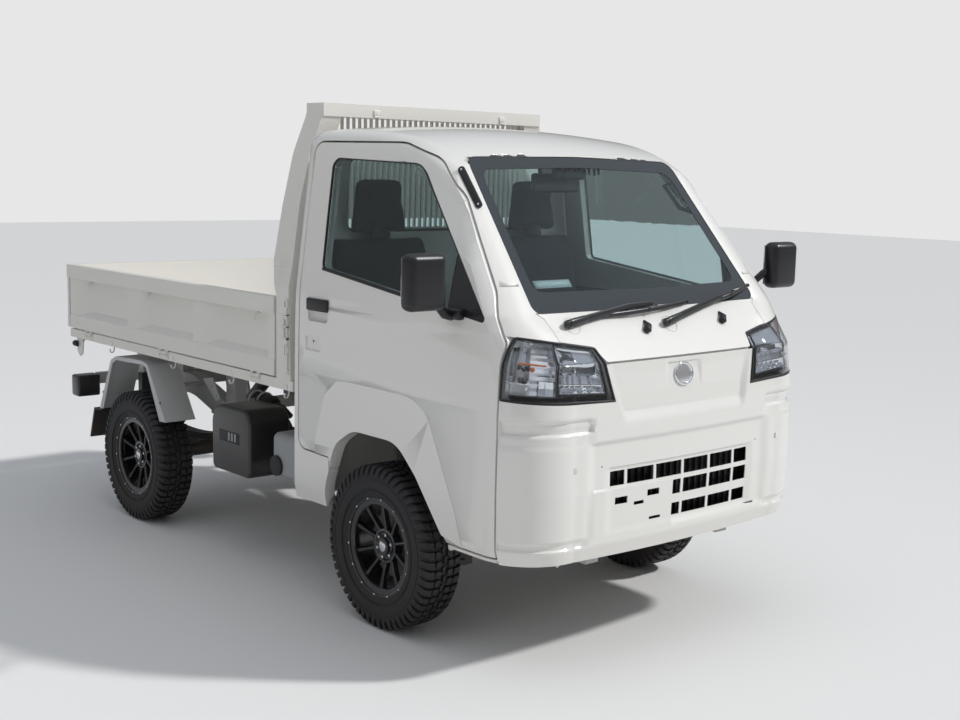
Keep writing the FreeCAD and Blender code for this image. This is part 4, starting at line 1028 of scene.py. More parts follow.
def make_lamp(side):
    body, near = "body", 6.0
    tag = "left" if side > 0 else "right"

    def finish(shape, name, slot, finish_name, thickness=0.0, smooth=40, replaces=()):
        if side < 0:
            shape.flipped_x()
        obj = shape.object(name + "_" + tag)
        if thickness:
            wall = obj.modifiers.new("wall", "SOLIDIFY")
            wall.thickness, wall.offset = thickness * MM, -1
            bake(obj)
        return piece(obj, body, slot, finish_name, smooth=smooth, replaces=replaces)

    lens = lamp_sheet(Shape(), (0.012, 0.992), (0.015, 0.985), lambda a, b: 1.0, 48, 20)
    finish(lens, "lamp_cover", "lens", "lamp_lens", thickness=2.2,
           replaces=("headlamps",) if side > 0 else ())

    housing = Shape()
    lamp_frame(housing, (0.006, 0.994), (0.008, 0.985), 3.5, 60, 20)
    lamp_sheet(housing, (0.006, 0.994), (0.008, 0.985), lambda a, b: 60, 24, 10)
    finish(housing, "lamp_housing", "black_plastic", "lamp_grey", thickness=1.0)

    gasket = Shape()
    loop = lamp_frame(Shape(), (0.0, 1.0), (0.0, 1.0), 2, 3, 24)
    gasket.tube([lamp_point(a, b, 3.0) for a, b in loop], 4.2 * MM, sides=8, closed=True)
    finish(gasket, "lamp_gasket", "black_plastic", "seal_rubber", smooth=60)

    inner, outer = ((0.060, 0.478), (0.15, 0.93)), ((0.505, 0.965), (0.10, 0.955))
    chrome = Shape()
    lamp_frame(chrome, inner[0], inner[1], near, 20)
    lamp_sheet(chrome, inner[0], inner[1], bowl, 56, 40)
    finish(chrome, "headlamp_bowl", None, "chrome", thickness=0.8)
    silver = Shape()
    lamp_frame(silver, outer[0], outer[1], near, 26)
    lamp_sheet(silver, outer[0], outer[1], ribs, 48, 56)
    finish(silver, "signal_bowl", None, "lamp_silver", thickness=0.8)

    trim = Shape()
    for t, v in (inner, outer):
        loop = lamp_frame(Shape(), t, v, near, near + 1)
        trim.tube([lamp_point(a, b, near) for a, b in loop], 2.4 * MM, sides=6, closed=True)
    lamp_sheet(trim, (0.10, 0.43), (0.50, 0.60), lambda a, b: 22 + 16 * math.sin(a * math.pi), 20, 3)
    finish(trim, "lamp_trim", "black_plastic", "lamp_grey", thickness=0.6)

    dark = Shape()
    dark.tube([lamp_point(0.49, v, 6) for v in (0.06, 0.3, 0.6, 0.97)], 3.2 * MM, sides=8)
    dark.tube([lamp_point(t, 0.115, 5) for t in (0.05, 0.2, 0.35, 0.48)], 3.2 * MM, sides=8)
    dark.tube([lamp_point(0.047, v, 5) for v in (0.12, 0.4, 0.7, 0.95)], 3.2 * MM, sides=8)
    dark.tube([lamp_point(0.80, 0.50, 46), lamp_point(0.80, 0.50, 16)], [9 * MM, 6 * MM], sides=16)
    finish(dark, "lamp_ribs", "black_plastic", "lamp_black", smooth=50)

    bulb = Shape()
    bulb.tube([lamp_point(0.27, 0.53, 44), lamp_point(0.27, 0.53, 30), lamp_point(0.27, 0.53, 22)],
              [9 * MM, 8 * MM, 3 * MM], sides=16)
    finish(bulb, "headlamp_bulb", None, "bright_steel", smooth=50)

    amber = Shape()
    amber.tube([lamp_point(t, 0.585, 24) for t in (0.60, 0.68, 0.76, 0.86)], 3.6 * MM, sides=10)
    amber.tube([lamp_point(0.72, 0.50, 40), lamp_point(0.72, 0.50, 26), lamp_point(0.72, 0.50, 20)],
               [8 * MM, 9 * MM, 4 * MM], sides=16)
    finish(amber, "signal_bulb", "lens", "orange_bulb", smooth=50)

    marker = Shape()
    lamp_frame(marker, (0.53, 0.665), (0.115, 0.34), 5, 18, 6)
    lamp_sheet(marker, (0.53, 0.665), (0.115, 0.34),
               lambda a, b: 18 - 9 * abs(2 * a - 1) - 4 * abs(2 * b - 1), 10, 10)
    finish(marker, "marker_reflector", None, "chrome", thickness=0.6, smooth=20)


materials["lamp_silver"] = finish_material("lamp_silver", (0.80, 0.80, 0.81), 0.20, 200, 0.00003, drift=0.03,
                                           metal=0.85)
materials["lamp_grey"] = finish_material("lamp_grey", (0.16, 0.165, 0.17), 0.3, 300, 0.0001, drift=0.05,
                                         coat=0.3)
for side in (1, -1):
    make_lamp(side)
print("lamps made")

# %% [markdown]
# ## Wipers, washer nozzles, badge and sensors
# The wipers lie along the foot of the windshield. Each has a cap on its shaft, a flat arm, and a blade that
# hangs from two bridges. The badge is a plain ring and disc in its square dish.

# %% Wipers
WIPERS = (      # shaft, the arm's knee, the arm's end and the blade's two ends, each as x and z
    ((-446, 1155), (-150, 1201), (-30, 1206), (-307, 1174), (178, 1200)),
    ((8, 1138), (310, 1204), (392, 1216), (252, 1189), (566, 1241)),
)


def make_wiper(shape, shaft, knee, arm_end, start, end):
    base = front_point(*shaft, 6)
    head = base + Vector((-0.010, -0.020, 0.006))
    bend, tip = front_point(*knee, -30), front_point(*arm_end, -30)
    way = (bend - head).normalized()
    shape.tube([base, head, head + Vector((-0.004, -0.008, 0.002))], [16 * MM, 15 * MM, 10 * MM], sides=18)
    shape.tube([head + way * d for d in (-0.022, -0.014, 0.02, 0.075, 0.09)],
               [5 * MM, 9 * MM, 10 * MM, 9 * MM, 6 * MM], sides=12, flat=1.6)
    shape.tube([head + way * 0.05, head + way * 0.10, bend, tip], [5 * MM, 5.5 * MM, 4.4 * MM, 3 * MM],
               sides=10, flat=2.6)

    def on_blade(u, lift):
        return front_point(start[0] + (end[0] - start[0]) * u, start[1] + (end[1] - start[1]) * u, -lift)

    for low, high, foot, rise in ((0.12, 0.88, 15, 15), (0.02, 0.34, 8, 10), (0.64, 0.98, 8, 10)):
        arc = [on_blade(low + (high - low) * k / 10, foot + rise * (1 - (k / 5 - 1) ** 2)) for k in range(11)]
        shape.tube(arc, 4.6 * MM, sides=8, flat=1.8)
    for u in (0.02, 0.17, 0.34, 0.64, 0.81, 0.98):
        shape.tube([on_blade(u, 14), on_blade(u, 5)], 6 * MM, sides=8)
    shape.tube([on_blade(k / 12, 6) for k in range(13)], [1.6 * MM] + [3.4 * MM] * 11 + [1.6 * MM], sides=8,
               flat=1.7)
    shape.tube([on_blade(k / 12, 2.2) for k in range(13)], 2.4 * MM, sides=6)
    shape.tube([on_blade(0.5, 36), on_blade(0.5, 14)], 8 * MM, sides=10)


blades = Shape()
for row in WIPERS:
    make_wiper(blades, *row)
piece(blades.object("wiper_set"), "body", "black_plastic", "wiper_black", smooth=50, replaces=("wipers",))

dishes = Shape()
for (x, z), *_ in WIPERS:
    rim = [front_point(x + 12 + 32 * math.cos(a), z - 3 + 24 * math.sin(a), -0.2) for a in
           (2 * math.pi * k / 28 for k in range(28))]
    dishes.tube(rim, 1.8 * MM, sides=8, closed=True)
piece(dishes.object("wiper_dishes"), "body", "white_paint", "white_paint", smooth=60)

nozzles = Shape()
for x, z in ((-108, 1130), (302, 1138)):
    nozzles.tube([front_point(x - 14, z - 15, 1), front_point(x - 6, z - 5, -11),
                  front_point(x + 5, z + 6, -15),
                  front_point(x + 13, z + 20, 0)], [7 * MM, 15 * MM, 12 * MM, 4 * MM], sides=18)
piece(nozzles.object("washer_nozzles"), "body", "black_plastic", "black_plastic", smooth=50)
print("wipers made")

# %% Badge, sensors, plate edge and tow hook
BADGE = (0, 975)
BADGE_R = 36.0
BADGE_WIDE = 1.2


def disc(shape, centre, ahead, radius, height, dome=0.0, sides=40):
    """A flat or domed button standing up from a centre."""
    ahead = Vector(ahead).normalized()
    path, radii = [centre, centre + ahead * height], [radius, radius]
    if dome:
        path += [centre + ahead * (height + dome * 0.7), centre + ahead * (height + dome)]
        radii += [radius * 0.72, radius * 0.25]
    return shape.tube(path, radii, sides=sides)


badge = Shape()
loop = [(BADGE[0] + BADGE_R * BADGE_WIDE * math.cos(a), BADGE[1] + BADGE_R * math.sin(a)) for a in
        (2 * math.pi * k / 48 for k in range(48))]
badge.tube([front_point(x, z, bumper_depth(*BADGE) - 5) for x, z in loop], 4.4 * MM, sides=12, closed=True)
piece(badge.object("badge_ring"), "body", "bumper_paint", "chrome", smooth=60)
plate = disc(Shape(), front_point(*BADGE, bumper_depth(*BADGE) + 1), (0, -1, 0.18), (BADGE_R - 1) * MM,
             4 * MM, dome=0.002)
for vert in plate.mesh.verts:
    vert.co.x *= BADGE_WIDE
piece(plate.object("badge_disc"), "body", "bumper_paint", "lamp_silver", smooth=60)

sensors = Shape()
for x in (-523, 523):
    disc(sensors, front_point(x, 702, 1.5), (x * 0.0006, -1, 0), 11 * MM, 3.4 * MM, dome=0.001)
piece(sensors.object("parking_sensors"), "body", "bumper_paint", "bed_paint", smooth=50)

hook = Shape()
hook.tube([(-0.505, -1.50, 0.402), (-0.505, -1.575, 0.395), (-0.505, -1.600, 0.378), (-0.505, -1.588, 0.366),
           (-0.505, -1.565, 0.372)], 7 * MM, sides=10)
hook.block((-0.515, -1.53, 0.39), (-0.495, -1.47, 0.43))
hook.mirror_x()
piece(hook.object("tow_hooks"), "body", "chassis_paint", "chassis_paint", smooth=50)
print("badge and sensors made")

# %% [markdown]
# ## Doors: window seals, sail, handles and mirrors
# These are made for the left door and turned over for the right one. The seal follows the window's outline
# along the cab's side, and a black sail fills the window's front corner, where the mirror's arm stands.

# %% Door trim
WINDOW_LOOP = [(-515, 1276, 25), (-502, 1684, 40), (-985, 1668, 90), (-1462, 1163, 12)]
DIVIDER_Y = -1262.0
SILL_RISE = (1276 - 1163) / (1462 - 515)
FRONT_SLOPE = (1668 - 1163) / (1462 - 985)


def for_side(shape, side, name, body, slot, finish, **settings):
    """Turns a left-hand shape over if it is for the right, and makes it a piece."""
    if side < 0:
        shape.flipped_x()
    tag = "left" if side > 0 else "right"
    return piece(shape.object(name + "_" + tag), body if body == "body" else tag + "_door", slot, finish,
                 **settings)


def make_door_trim(side):
    tag = "left" if side > 0 else "right"
    seal = Shape()
    loop = even_loop(rounded_loop(WINDOW_LOOP), 150)
    seal.tube([side_point(p.x, p.y, 6) for p in loop], 5.5 * MM, sides=8, closed=True)
    low = 1163 + (DIVIDER_Y + 1462) * SILL_RISE
    high = 1163 + (DIVIDER_Y + 1462) * FRONT_SLOPE
    seal.tube([side_point(DIVIDER_Y, low + (high - low) * k / 6, 9) for k in range(7)], 7 * MM, sides=8)
    seal.tube([side_point(-520 - 740 * k / 10, 1276 - 740 * k / 10 * SILL_RISE, 2.5) for k in range(11)],
              5 * MM, sides=8, flat=1.4)
    for_side(seal, side, "window_seal", "door", "black_plastic", "seal_rubber", smooth=60)

    sail = Shape()
    rows = []
    for i in range(9):
        y = -1452 + (DIVIDER_Y + 1452) * i / 8
        bottom, top = 1163 + (y + 1462) * SILL_RISE, 1163 + (y + 1462) * FRONT_SLOPE
        rows.append([side_point(y, bottom + (top - bottom) * k / 6, 5) for k in range(7)])
    sail.grid(rows)
    if side < 0:
        sail.flipped_x()
    obj = sail.object("mirror_sail_" + tag)
    wall = obj.modifiers.new("wall", "SOLIDIFY")
    wall.thickness, wall.offset = 5 * MM, 0
    bake(obj)
    piece(obj, tag + "_door", "black_plastic", "lamp_black", smooth=50)

    face = side_point(-515, 1140).x
    handle = Shape().rounded((face - 0.006, HANDLE_Y[0], HANDLE_Z[0]),
                             (face + 0.011, HANDLE_Y[1], HANDLE_Z[1]),
                             0.0075, 4)
    for_side(handle, side, "door_handle", "door", "black_plastic", "black_plastic", smooth=40)
    lock = disc(Shape(), Vector((face - 0.006, *LOCK_YZ)), (1, 0, 0), 9.5 * MM, 5 * MM, dome=0.001, sides=24)
    for_side(lock, side, "door_lock", "door", "black_plastic", "bright_steel", smooth=50)
    slot = Shape().block((face - 0.002, LOCK_YZ[0] - 0.001, LOCK_YZ[1] - 0.005),
                         (face + 0.0008, LOCK_YZ[0] + 0.001, LOCK_YZ[1] + 0.005))
    for_side(slot, side, "key_slot", "door", "black_plastic", "seal_rubber")


MIRROR = ((0.832, -1.400, 1.208), (0.984, -1.332, 1.390))


def make_mirror(side):
    tag = "left" if side > 0 else "right"
    (x0, y0, z0), (x1, y1, z1) = MIRROR
    shell = Shape().rounded((x0, y0, z0), (x1, y1, z1), 0.027, 6)
    shell.rounded((0.706, -1.345, 1.166), (0.748, -1.255, 1.204), 0.012, 4)
    shell.tube([(0.735, -1.296, 1.180), (0.766, -1.298, 1.186), (0.792, -1.308, 1.206),
                (0.812, -1.325, 1.240),
                (0.832, -1.345, 1.268), (0.856, -1.360, 1.286)],
               [19 * MM, 17 * MM, 15 * MM, 14 * MM, 14 * MM, 13 * MM], sides=18)
    for_side(shell, side, "mirror_shell", "door", "black_plastic", "mirror_black", smooth=45,
             replaces=("mirror_" + tag,))
    pane = Shape().rounded((x0 + 0.012, y1 - 0.004, z0 + 0.014), (x1 - 0.012, y1 - 0.0002, z1 - 0.014),
                           0.0018, 2)
    for_side(pane, side, "mirror_pane", "door", "glass", "mirror_glass", smooth=40)


materials["mirror_black"] = finish_material("mirror_black", (0.012, 0.012, 0.014), 0.32, 900, 0.0002,
                                            drift=0.05)
for side in (1, -1):
    make_door_trim(side)
    make_mirror(side)

cover = Shape()
ends = (Vector((-0.570, -1.138, 1.648)), Vector((-0.574, -1.234, 1.535)))
outward = Vector((-0.80, -0.52, 0.30)).normalized()
along = (ends[0] - ends[1]).normalized()
across = along.cross(outward).normalized()
COVER_HALF = 0.0125


def cover_loop(shrink, lift):
    half = COVER_HALF - shrink
    points = []
    for end, start in ((ends[0], 0.0), (ends[1], math.pi)):
        points += [end + outward * lift + across * half * math.cos(start + math.pi * k / 12)
                   + along * half * math.sin(start + math.pi * k / 12) for k in range(13)]
    return points


rows = [cover_loop(*step_of) for step_of in ((0.0, -0.004), (0.0, 0.005), (0.0015, 0.0068), (0.004, 0.0074))]
cover.grid(rows, closed=True)
top = [v for v in cover.mesh.verts][-26:]
cover.mesh.faces.new(top)
cover.mesh.faces.new([v for v in cover.mesh.verts][:26][::-1])
piece(cover.object("pillar_cover"), "body", "black_plastic", "black_plastic", smooth=40)
screws = Shape()
for end in ends:
    disc(screws, end + outward * 0.0068, outward, 3.6 * MM, 1.4 * MM, dome=0.001, sides=16)
piece(screws.object("pillar_screws"), "body", "black_plastic", "bright_steel", smooth=50)
print("door trim and mirrors made")

# %% [markdown]
# ## Wheels
# A tyre is a turned casing with a ring of tread pitches, and a rim is a turned barrel with a ring of spokes,
# rivets and nuts. One Geometry Nodes group makes every ring: it turns copies of a piece about the wheel's
# axis, makes them real, gives them a material and sets them at the wheel's centre.

# %% Ring of copies
def make_ring_group():
    tree = bpy.data.node_groups.new("ring_of_copies", "GeometryNodeTree")
    for label, kind in (("Piece", "NodeSocketGeometry"), ("Count", "NodeSocketInt"),
                        ("Turn", "NodeSocketFloat"),
                        ("Centre", "NodeSocketVector"), ("Material", "NodeSocketMaterial")):
        tree.interface.new_socket(label, in_out="INPUT", socket_type=kind)
    tree.interface.new_socket("Ring", in_out="OUTPUT", socket_type="NodeSocketGeometry")
    source, sink = tree.nodes.new("NodeGroupInput"), tree.nodes.new("NodeGroupOutput")
    points = tree.nodes.new("GeometryNodePoints")
    index = tree.nodes.new("GeometryNodeInputIndex")
    share = math_node(tree, "DIVIDE", index.outputs[0], source.outputs["Count"])
    angle = math_node(tree, "MULTIPLY_ADD", share, 2 * math.pi)
    tree.links.new(source.outputs["Turn"], angle.node.inputs[2])
    spin = tree.nodes.new("ShaderNodeCombineXYZ")
    euler = tree.nodes.new("FunctionNodeEulerToRotation")
    copies = tree.nodes.new("GeometryNodeInstanceOnPoints")
    real = tree.nodes.new("GeometryNodeRealizeInstances")
    place = tree.nodes.new("GeometryNodeTransform")
    paint = tree.nodes.new("GeometryNodeSetMaterial")
    tree.links.new(source.outputs["Count"], points.inputs["Count"])
    tree.links.new(points.outputs[0], copies.inputs["Points"])
    tree.links.new(source.outputs["Piece"], copies.inputs["Instance"])
    tree.links.new(angle, spin.inputs["X"])
    tree.links.new(spin.outputs[0], euler.inputs[0])
    tree.links.new(euler.outputs[0], copies.inputs["Rotation"])
    tree.links.new(copies.outputs[0], real.inputs[0])
    tree.links.new(real.outputs[0], place.inputs["Geometry"])
    tree.links.new(source.outputs["Centre"], place.inputs["Translation"])
    tree.links.new(place.outputs[0], paint.inputs["Geometry"])
    tree.links.new(source.outputs["Material"], paint.inputs["Material"])
    tree.links.new(paint.outputs[0], sink.inputs[0])
    return tree


RING_GROUP = make_ring_group()


def ring(shape, name, count, centre, finish, turn=0.0, bevel=0.0):
    """A ring of copies of a shape that is built round the origin, at its place above the X axis."""
    obj = shape.object(name)
    if bevel:
        rounding = obj.modifiers.new("soft_edges", "BEVEL")
        rounding.width, rounding.segments = bevel, 1
        rounding.limit_method, rounding.angle_limit = "ANGLE", math.radians(32)
        bake(obj)
    copies = obj.modifiers.new("copies", "NODES")
    copies.node_group = RING_GROUP
    values = {"Count": count, "Turn": turn, "Centre": centre, "Material": materials[finish]}
    for socket in RING_GROUP.interface.items_tree:
        if socket.in_out == "INPUT" and socket.name in values:
            copies[socket.identifier] = values[socket.name]
    return bake(obj)


print("ring group ready")

# %% [markdown]
# The tread is a mud pattern: long shoulder lugs that alternate in length and wrap over on to the sidewall,
# and two staggered rows of zigzag blocks between them. One pitch holds two shoulder lugs and two blocks on
# each side.

# %% Tyres
TYRE_R = 300.0
TREAD_BASE = 289.0
BEAD_R = 178.0
PITCHES = 27

CASING = [(-58, BEAD_R - 2), (-66, BEAD_R - 4), (-72, BEAD_R + 3), (-77, BEAD_R + 18), (-80.5, 216),
          (-81.5, 238),
          (-80.5, 256), (-77, 270), (-72, 280), (-62, TREAD_BASE - 2), (-35, TREAD_BASE)]
SIDEWALL_RIBS = (206.0, 210.0, 248.0)
RIB_SECTION = ((-1.1, -1.4), (1.1, -1.0), (1.1, 1.0), (-1.1, 1.4))


def lug_point(x, r, angle):
    """A point at a distance from the wheel's plane, a radius and an angle in pitches round the wheel."""
    a = angle * 2 * math.pi / PITCHES
    return Vector((x, r * math.sin(a), r * math.cos(a))) * MM


def tread_lug(shape, outline, foot):
    """A block over an outline of (x, angle), from the radius foot up to the crown, where it is narrower."""
    n = len(outline)
    mx = sum(p[0] for p in outline) / n
    ma = sum(p[1] for p in outline) / n
    points = [lug_point(x, foot, a) for x, a in outline]
    points += [lug_point(mx + (x - mx) * 0.92, TYRE_R, ma + (a - ma) * 0.90) for x, a in outline]
    sides = [(i, (i + 1) % n, n + (i + 1) % n, n + i) for i in range(n)]
    shape.add(points, sides + [tuple(range(n))[::-1], tuple(range(n, 2 * n))])


def shoulder_lug(shape, side, start, width, reach):
    """A lug from the tread's edge region down over the shoulder; its crown falls away on the sidewall."""
    profile = [(44, TYRE_R), (62, TYRE_R - 0.6), (73, TYRE_R - 5), (79, TYRE_R - 14), (82.3, TYRE_R - 27),
               (82.4, TYRE_R - 27 - reach)]
    rows = []
    for i, (x, r) in enumerate(profile):
        lean = 0.05 * i
        taper = 1 - 0.05 * i
        low, high = start + lean, start + lean + width * taper
        inner = (x, r - 14) if x < 70 else (x - 7, r - 6)
        rows.append([lug_point(side * x, r, low), lug_point(side * x, r, high),
                     lug_point(side * inner[0], inner[1], high), lug_point(side * inner[0], inner[1], low)])
    n = 4
    points = [p for row in rows for p in row]
    faces = []
    for i in range(len(rows) - 1):
        for k in range(n):
            j = (k + 1) % n
            faces.append((i * n + k, i * n + j, (i + 1) * n + j, (i + 1) * n + k))
    last = (len(rows) - 1) * n
    faces += [(0, 1, 2, 3)[::-1], (last, last + 1, last + 2, last + 3)]
    shape.add(points, faces)


def make_pitch():
    shape = Shape()
    for side in (1, -1):
        shift = 0.0 if side > 0 else 0.5
        shoulder_lug(shape, side, shift + 0.04, 0.36, 17)
        shoulder_lug(shape, side, shift + 0.54, 0.34, 8)
        for k, (x0, x1) in enumerate(((14, 40), (12, 38))):
            a = shift + 0.02 + 0.5 * k
            outline = [(side * x0, a + 0.10), (side * (x0 + 9), a), (side * x1, a + 0.06),
                       (side * (x1 + 1), a + 0.30), (side * (x1 - 8), a + 0.42), (side * (x0 + 2), a + 0.36)]
            tread_lug(shape, outline, TREAD_BASE - 6)
        a = shift + 0.2
        tread_lug(shape, [(side * -2, a), (side * 9, a + 0.06), (side * 10, a + 0.36), (side * 1, a + 0.42),
                          (side * -4, a + 0.22)], TREAD_BASE - 6)
    return shape


def make_tyre(name, centre):
    casing = Shape()
    half = list(CASING)
    profile = half + [(-x, r) for x, r in reversed(half)]
    inner = [(50, BEAD_R + 2), (-50, BEAD_R + 2)]
    casing.turned([(x * MM, r * MM) for x, r in profile + inner], centre, steps=96)
    for r in SIDEWALL_RIBS:
        for end in (-1, 1):
            x = end * (80.4 if r < 240 else 81.1)
            casing.turned([((x + dx) * MM, (r + dr) * MM) for dx, dr in RIB_SECTION], centre, steps=96)
    body = casing.object(name + "_casing")
    tread = ring(make_pitch(), name + "_tread", PITCHES, centre, "tyre_rubber", bevel=0.9 * MM)
    return body, tread


WHEELS = (("front", "left", 1), ("front", "right", -1), ("rear", "left", 1), ("rear", "right", -1))


def box_centre(obj):
    corners = [obj.matrix_world @ v.co for v in obj.data.vertices]
    return Vector([(min(c[i] for c in corners) + max(c[i] for c in corners)) / 2 for i in range(3)])


for end, tag, _ in WHEELS:
    centre = box_centre(nodes["tyre_%s_%s" % (end, tag)])
    body, tread = make_tyre("tyre_%s_%s" % (end, tag), centre)
    rides = "wheel_%s_%s" % (end, tag)
    piece(body, rides, "tyre", "tyre_rubber", smooth=30, replaces=("tyre_%s_%s" % (end, tag),))
    piece(tread, rides, "tyre", "tyre_rubber", smooth=30)
print("tyres made; tread faces", len(tread.data.polygons))

# %% [markdown]
# The rim is a deep satin black dish. Ten thin spokes with a V section run from the hub to a stepped barrel,
# small bright rivets stand round the lip, and six nuts and a small plain cap sit in the hub's well.

# %% Rims
SPOKES = 10
RIVETS = 14
BARREL = [(-62, 180), (-62, 168), (34, 164), (43, 158), (47, 152), (60, 152), (64, 156), (65, 176), (67, 184),
          (70, 186), (71, 181), (69, 175), (60, 181), (-56, 184)]


def make_spoke():
    """One spoke, from the hub's ring at r 60 to the barrel at r 160, above the X axis."""
    shape = Shape()
    rows = []
    for i in range(9):
        t = i / 8
        r = 56 + (162 - 56) * t
        face = 37 + 12 * math.sin(t * math.pi * 0.5) + 8 * t * t
        width = 11 - 4.5 * math.sin(t * math.pi) + 3 * t
        rows.append([(face, 0.0), (face - 4, width * 0.75), (face - 22, width), (face - 30, 0.0),
                     (face - 22, -width), (face - 4, -width * 0.75)])
        rows[-1] = [Vector((x, y, r)) * MM for x, y in rows[-1]]
    shape.grid(rows, closed=True)
    shape.mesh.verts.ensure_lookup_table()
    shape.mesh.faces.new([shape.mesh.verts[i] for i in range(5, -1, -1)])
    shape.mesh.faces.new([shape.mesh.verts[i] for i in range(48, 54)])
    return shape


def make_rim(name, centre, side, rides, node):
    def outward(x):
        return x * side

    def turned(profile, label, finish, replaces=(), steps=80, smooth=30):
        shape = Shape().turned([(outward(x) * MM, r * MM) for x, r in profile], centre, steps=steps)
        return piece(shape.object(name + label), rides, "wheel_black", finish, smooth=smooth,
                     replaces=replaces)

    def turned_ring(shape, label, count, finish, turn=0.0, bevel=0.0):
        if side < 0:
            shape.flipped_x()
        made = ring(shape, name + label, count, centre, finish, turn, bevel)
        return piece(made, rides, "wheel_black", finish, smooth=35)

    turned(BARREL, "_barrel", "wheel_black", replaces=(node,))
    hub = [(2, 1), (2, 60), (30, 64), (37, 62), (38, 54), (31, 49), (30, 34), (34, 30), (46, 29), (47, 1)]
    turned(hub, "_hub", "wheel_black", steps=60)
    turned_ring(make_spoke(), "_spokes", SPOKES, "wheel_black", bevel=0.9 * MM)
    cap = Shape()
    disc(cap, Vector((46.5, 0, 0)) * MM, (1, 0, 0), 19 * MM, 2.2 * MM, dome=0.0025, sides=36)
    turned_ring(cap, "_cap", 1, "bright_steel")
    nut = Shape()
    disc(nut, Vector((30, 0, 42)) * MM, (1, 0, 0), 6.2 * MM, 12 * MM, dome=0.002, sides=6)
    turned_ring(nut, "_nuts", 6, "bright_steel", turn=0.2)
    rivet = Shape()
    disc(rivet, Vector((68.5, 0, 179.5)) * MM, (1, 0, 0), 4.6 * MM, 2.2 * MM, dome=0.0015, sides=14)
    turned_ring(rivet, "_rivets", RIVETS, "bright_steel", turn=0.1)


for end, tag, side in WHEELS:
    node = "rim_%s_%s" % (end, tag)
    make_rim(node, box_centre(nodes["tyre_%s_%s" % (end, tag)]), side, "wheel_%s_%s" % (end, tag), node)
print("rims made")

# %% [markdown]
# ## Inside the cab
# Seen through the glass: two cloth seats, the steering wheel, the dashboard with its binnacle, door cards, a
# grip on the pillar and the camera unit with the mirror at the windshield's top. Each seat pad is made as a
# solid, remeshed evenly and swollen as cloth under a little pressure, with a cap on how far a point may move.

# %% Seats
SEAT_X = 0.400
SEAT_LOW = min((nodes["seats"].matrix_world @ v.co).z for v in nodes["seats"].data.vertices)


def stuffed(shape, name, bevel, voxel=0.010, pressure=4.0, cap=0.010):
    obj = shape.object(name)
    soft = obj.modifiers.new("soft_edges", "BEVEL")
    soft.width, soft.segments, soft.limit_method = bevel, 4, "ANGLE"
    even = obj.modifiers.new("even_mesh", "REMESH")
    even.mode, even.voxel_size = "VOXEL", voxel
    bake(obj)
    before = [v.co.copy() for v in obj.data.vertices]
    cloth = obj.modifiers.new("swell", "CLOTH")
    cloth.settings.use_pressure = True
    cloth.settings.uniform_pressure_force = pressure
    cloth.settings.effector_weights.gravity = 0
    for number in range(1, 21):
        scene.frame_set(number)
    bake(obj)
    for v, first in zip(obj.data.vertices, before):
        move = v.co - first
        if move.length > cap:
            v.co = first + move.normalized() * cap
    scene.frame_set(1)
    finer = obj.modifiers.new("finer", "SUBSURF")
    finer.levels = finer.render_levels = 1
    return bake(obj)


def make_seat(x, tag, replaces=()):
    cushion = Shape().block((x - 0.222, -0.972, SEAT_LOW + 0.010), (x + 0.222, -0.555, SEAT_LOW + 0.100))
    back = Shape().prism([(-0.585, 0.850), (-0.492, 0.845), (-0.418, 1.180), (-0.418, 1.385), (-0.462, 1.385),
                          (-0.505, 1.290)], x - 0.222, x + 0.222, "x")
    head = Shape().prism([(x - 0.126, 1.400), (x + 0.126, 1.400), (x + 0.098, 1.605), (x - 0.098, 1.605)],
                         -0.476, -0.412, "y")
    for shape, label, bevel in ((cushion, "cushion", 0.03), (back, "back", 0.03), (head, "head", 0.025)):
        pad = stuffed(shape, "seat_%s_%s" % (label, tag), bevel)
        piece(pad, "body", "seat_fabric", "seat_cloth", smooth=0,
              replaces=replaces if label == "cushion" else ())
    base = Shape().block((x - 0.18, -0.95, SEAT_LOW), (x + 0.18, -0.56, SEAT_LOW + 0.016))
    base.tube([(x, -0.452, 1.375), (x, -0.448, 1.42)], 0.05, sides=20, flat=0.5)
    piece(base.object("seat_base_" + tag), "body", "trim_dark", "trim_dark", smooth=30)


make_seat(SEAT_X, "left", replaces=("seats",))
make_seat(-SEAT_X, "right")
print("seats made")

# %% Steering wheel
WHEEL_CENTRE = Vector((-0.400, -1.105, 1.060))
WHEEL_AXIS = Vector((0.0, 0.55, 0.835)).normalized()
WHEEL_R = 0.183


def on_wheel(angle, radius, lift=0.0):
    """A point in the steering wheel's plane; angle 0 is to the left and a quarter turn is towards the driver."""
    across = Vector((1, 0, 0))
    near = across.cross(WHEEL_AXIS) * -1
    return WHEEL_CENTRE + (across * math.cos(angle) + near * math.sin(angle)) * radius + WHEEL_AXIS * lift


hand = Shape()
hand.tube([on_wheel(2 * math.pi * k / 72, WHEEL_R) for k in range(72)], 0.0135, sides=14, closed=True)
for angle, width in ((0.18, 0.016), (math.pi - 0.18, 0.016), (math.pi / 2, 0.015)):
    hand.tube([on_wheel(angle, WHEEL_R, 0), on_wheel(angle, 0.10, -0.018), on_wheel(angle, 0.035, -0.034)],
              [0.008, 0.010, width], sides=12, flat=1.6)
hand.tube([WHEEL_CENTRE + WHEEL_AXIS * d for d in (-0.060, -0.040, -0.020, -0.012)],
          [0.040, 0.060, 0.058, 0.030], sides=32)
piece(hand.object("hand_wheel_rim"), "hand_wheel", "trim_dark", "trim_dark", smooth=45,
      replaces=("steering_wheel",))
print("steering wheel made")

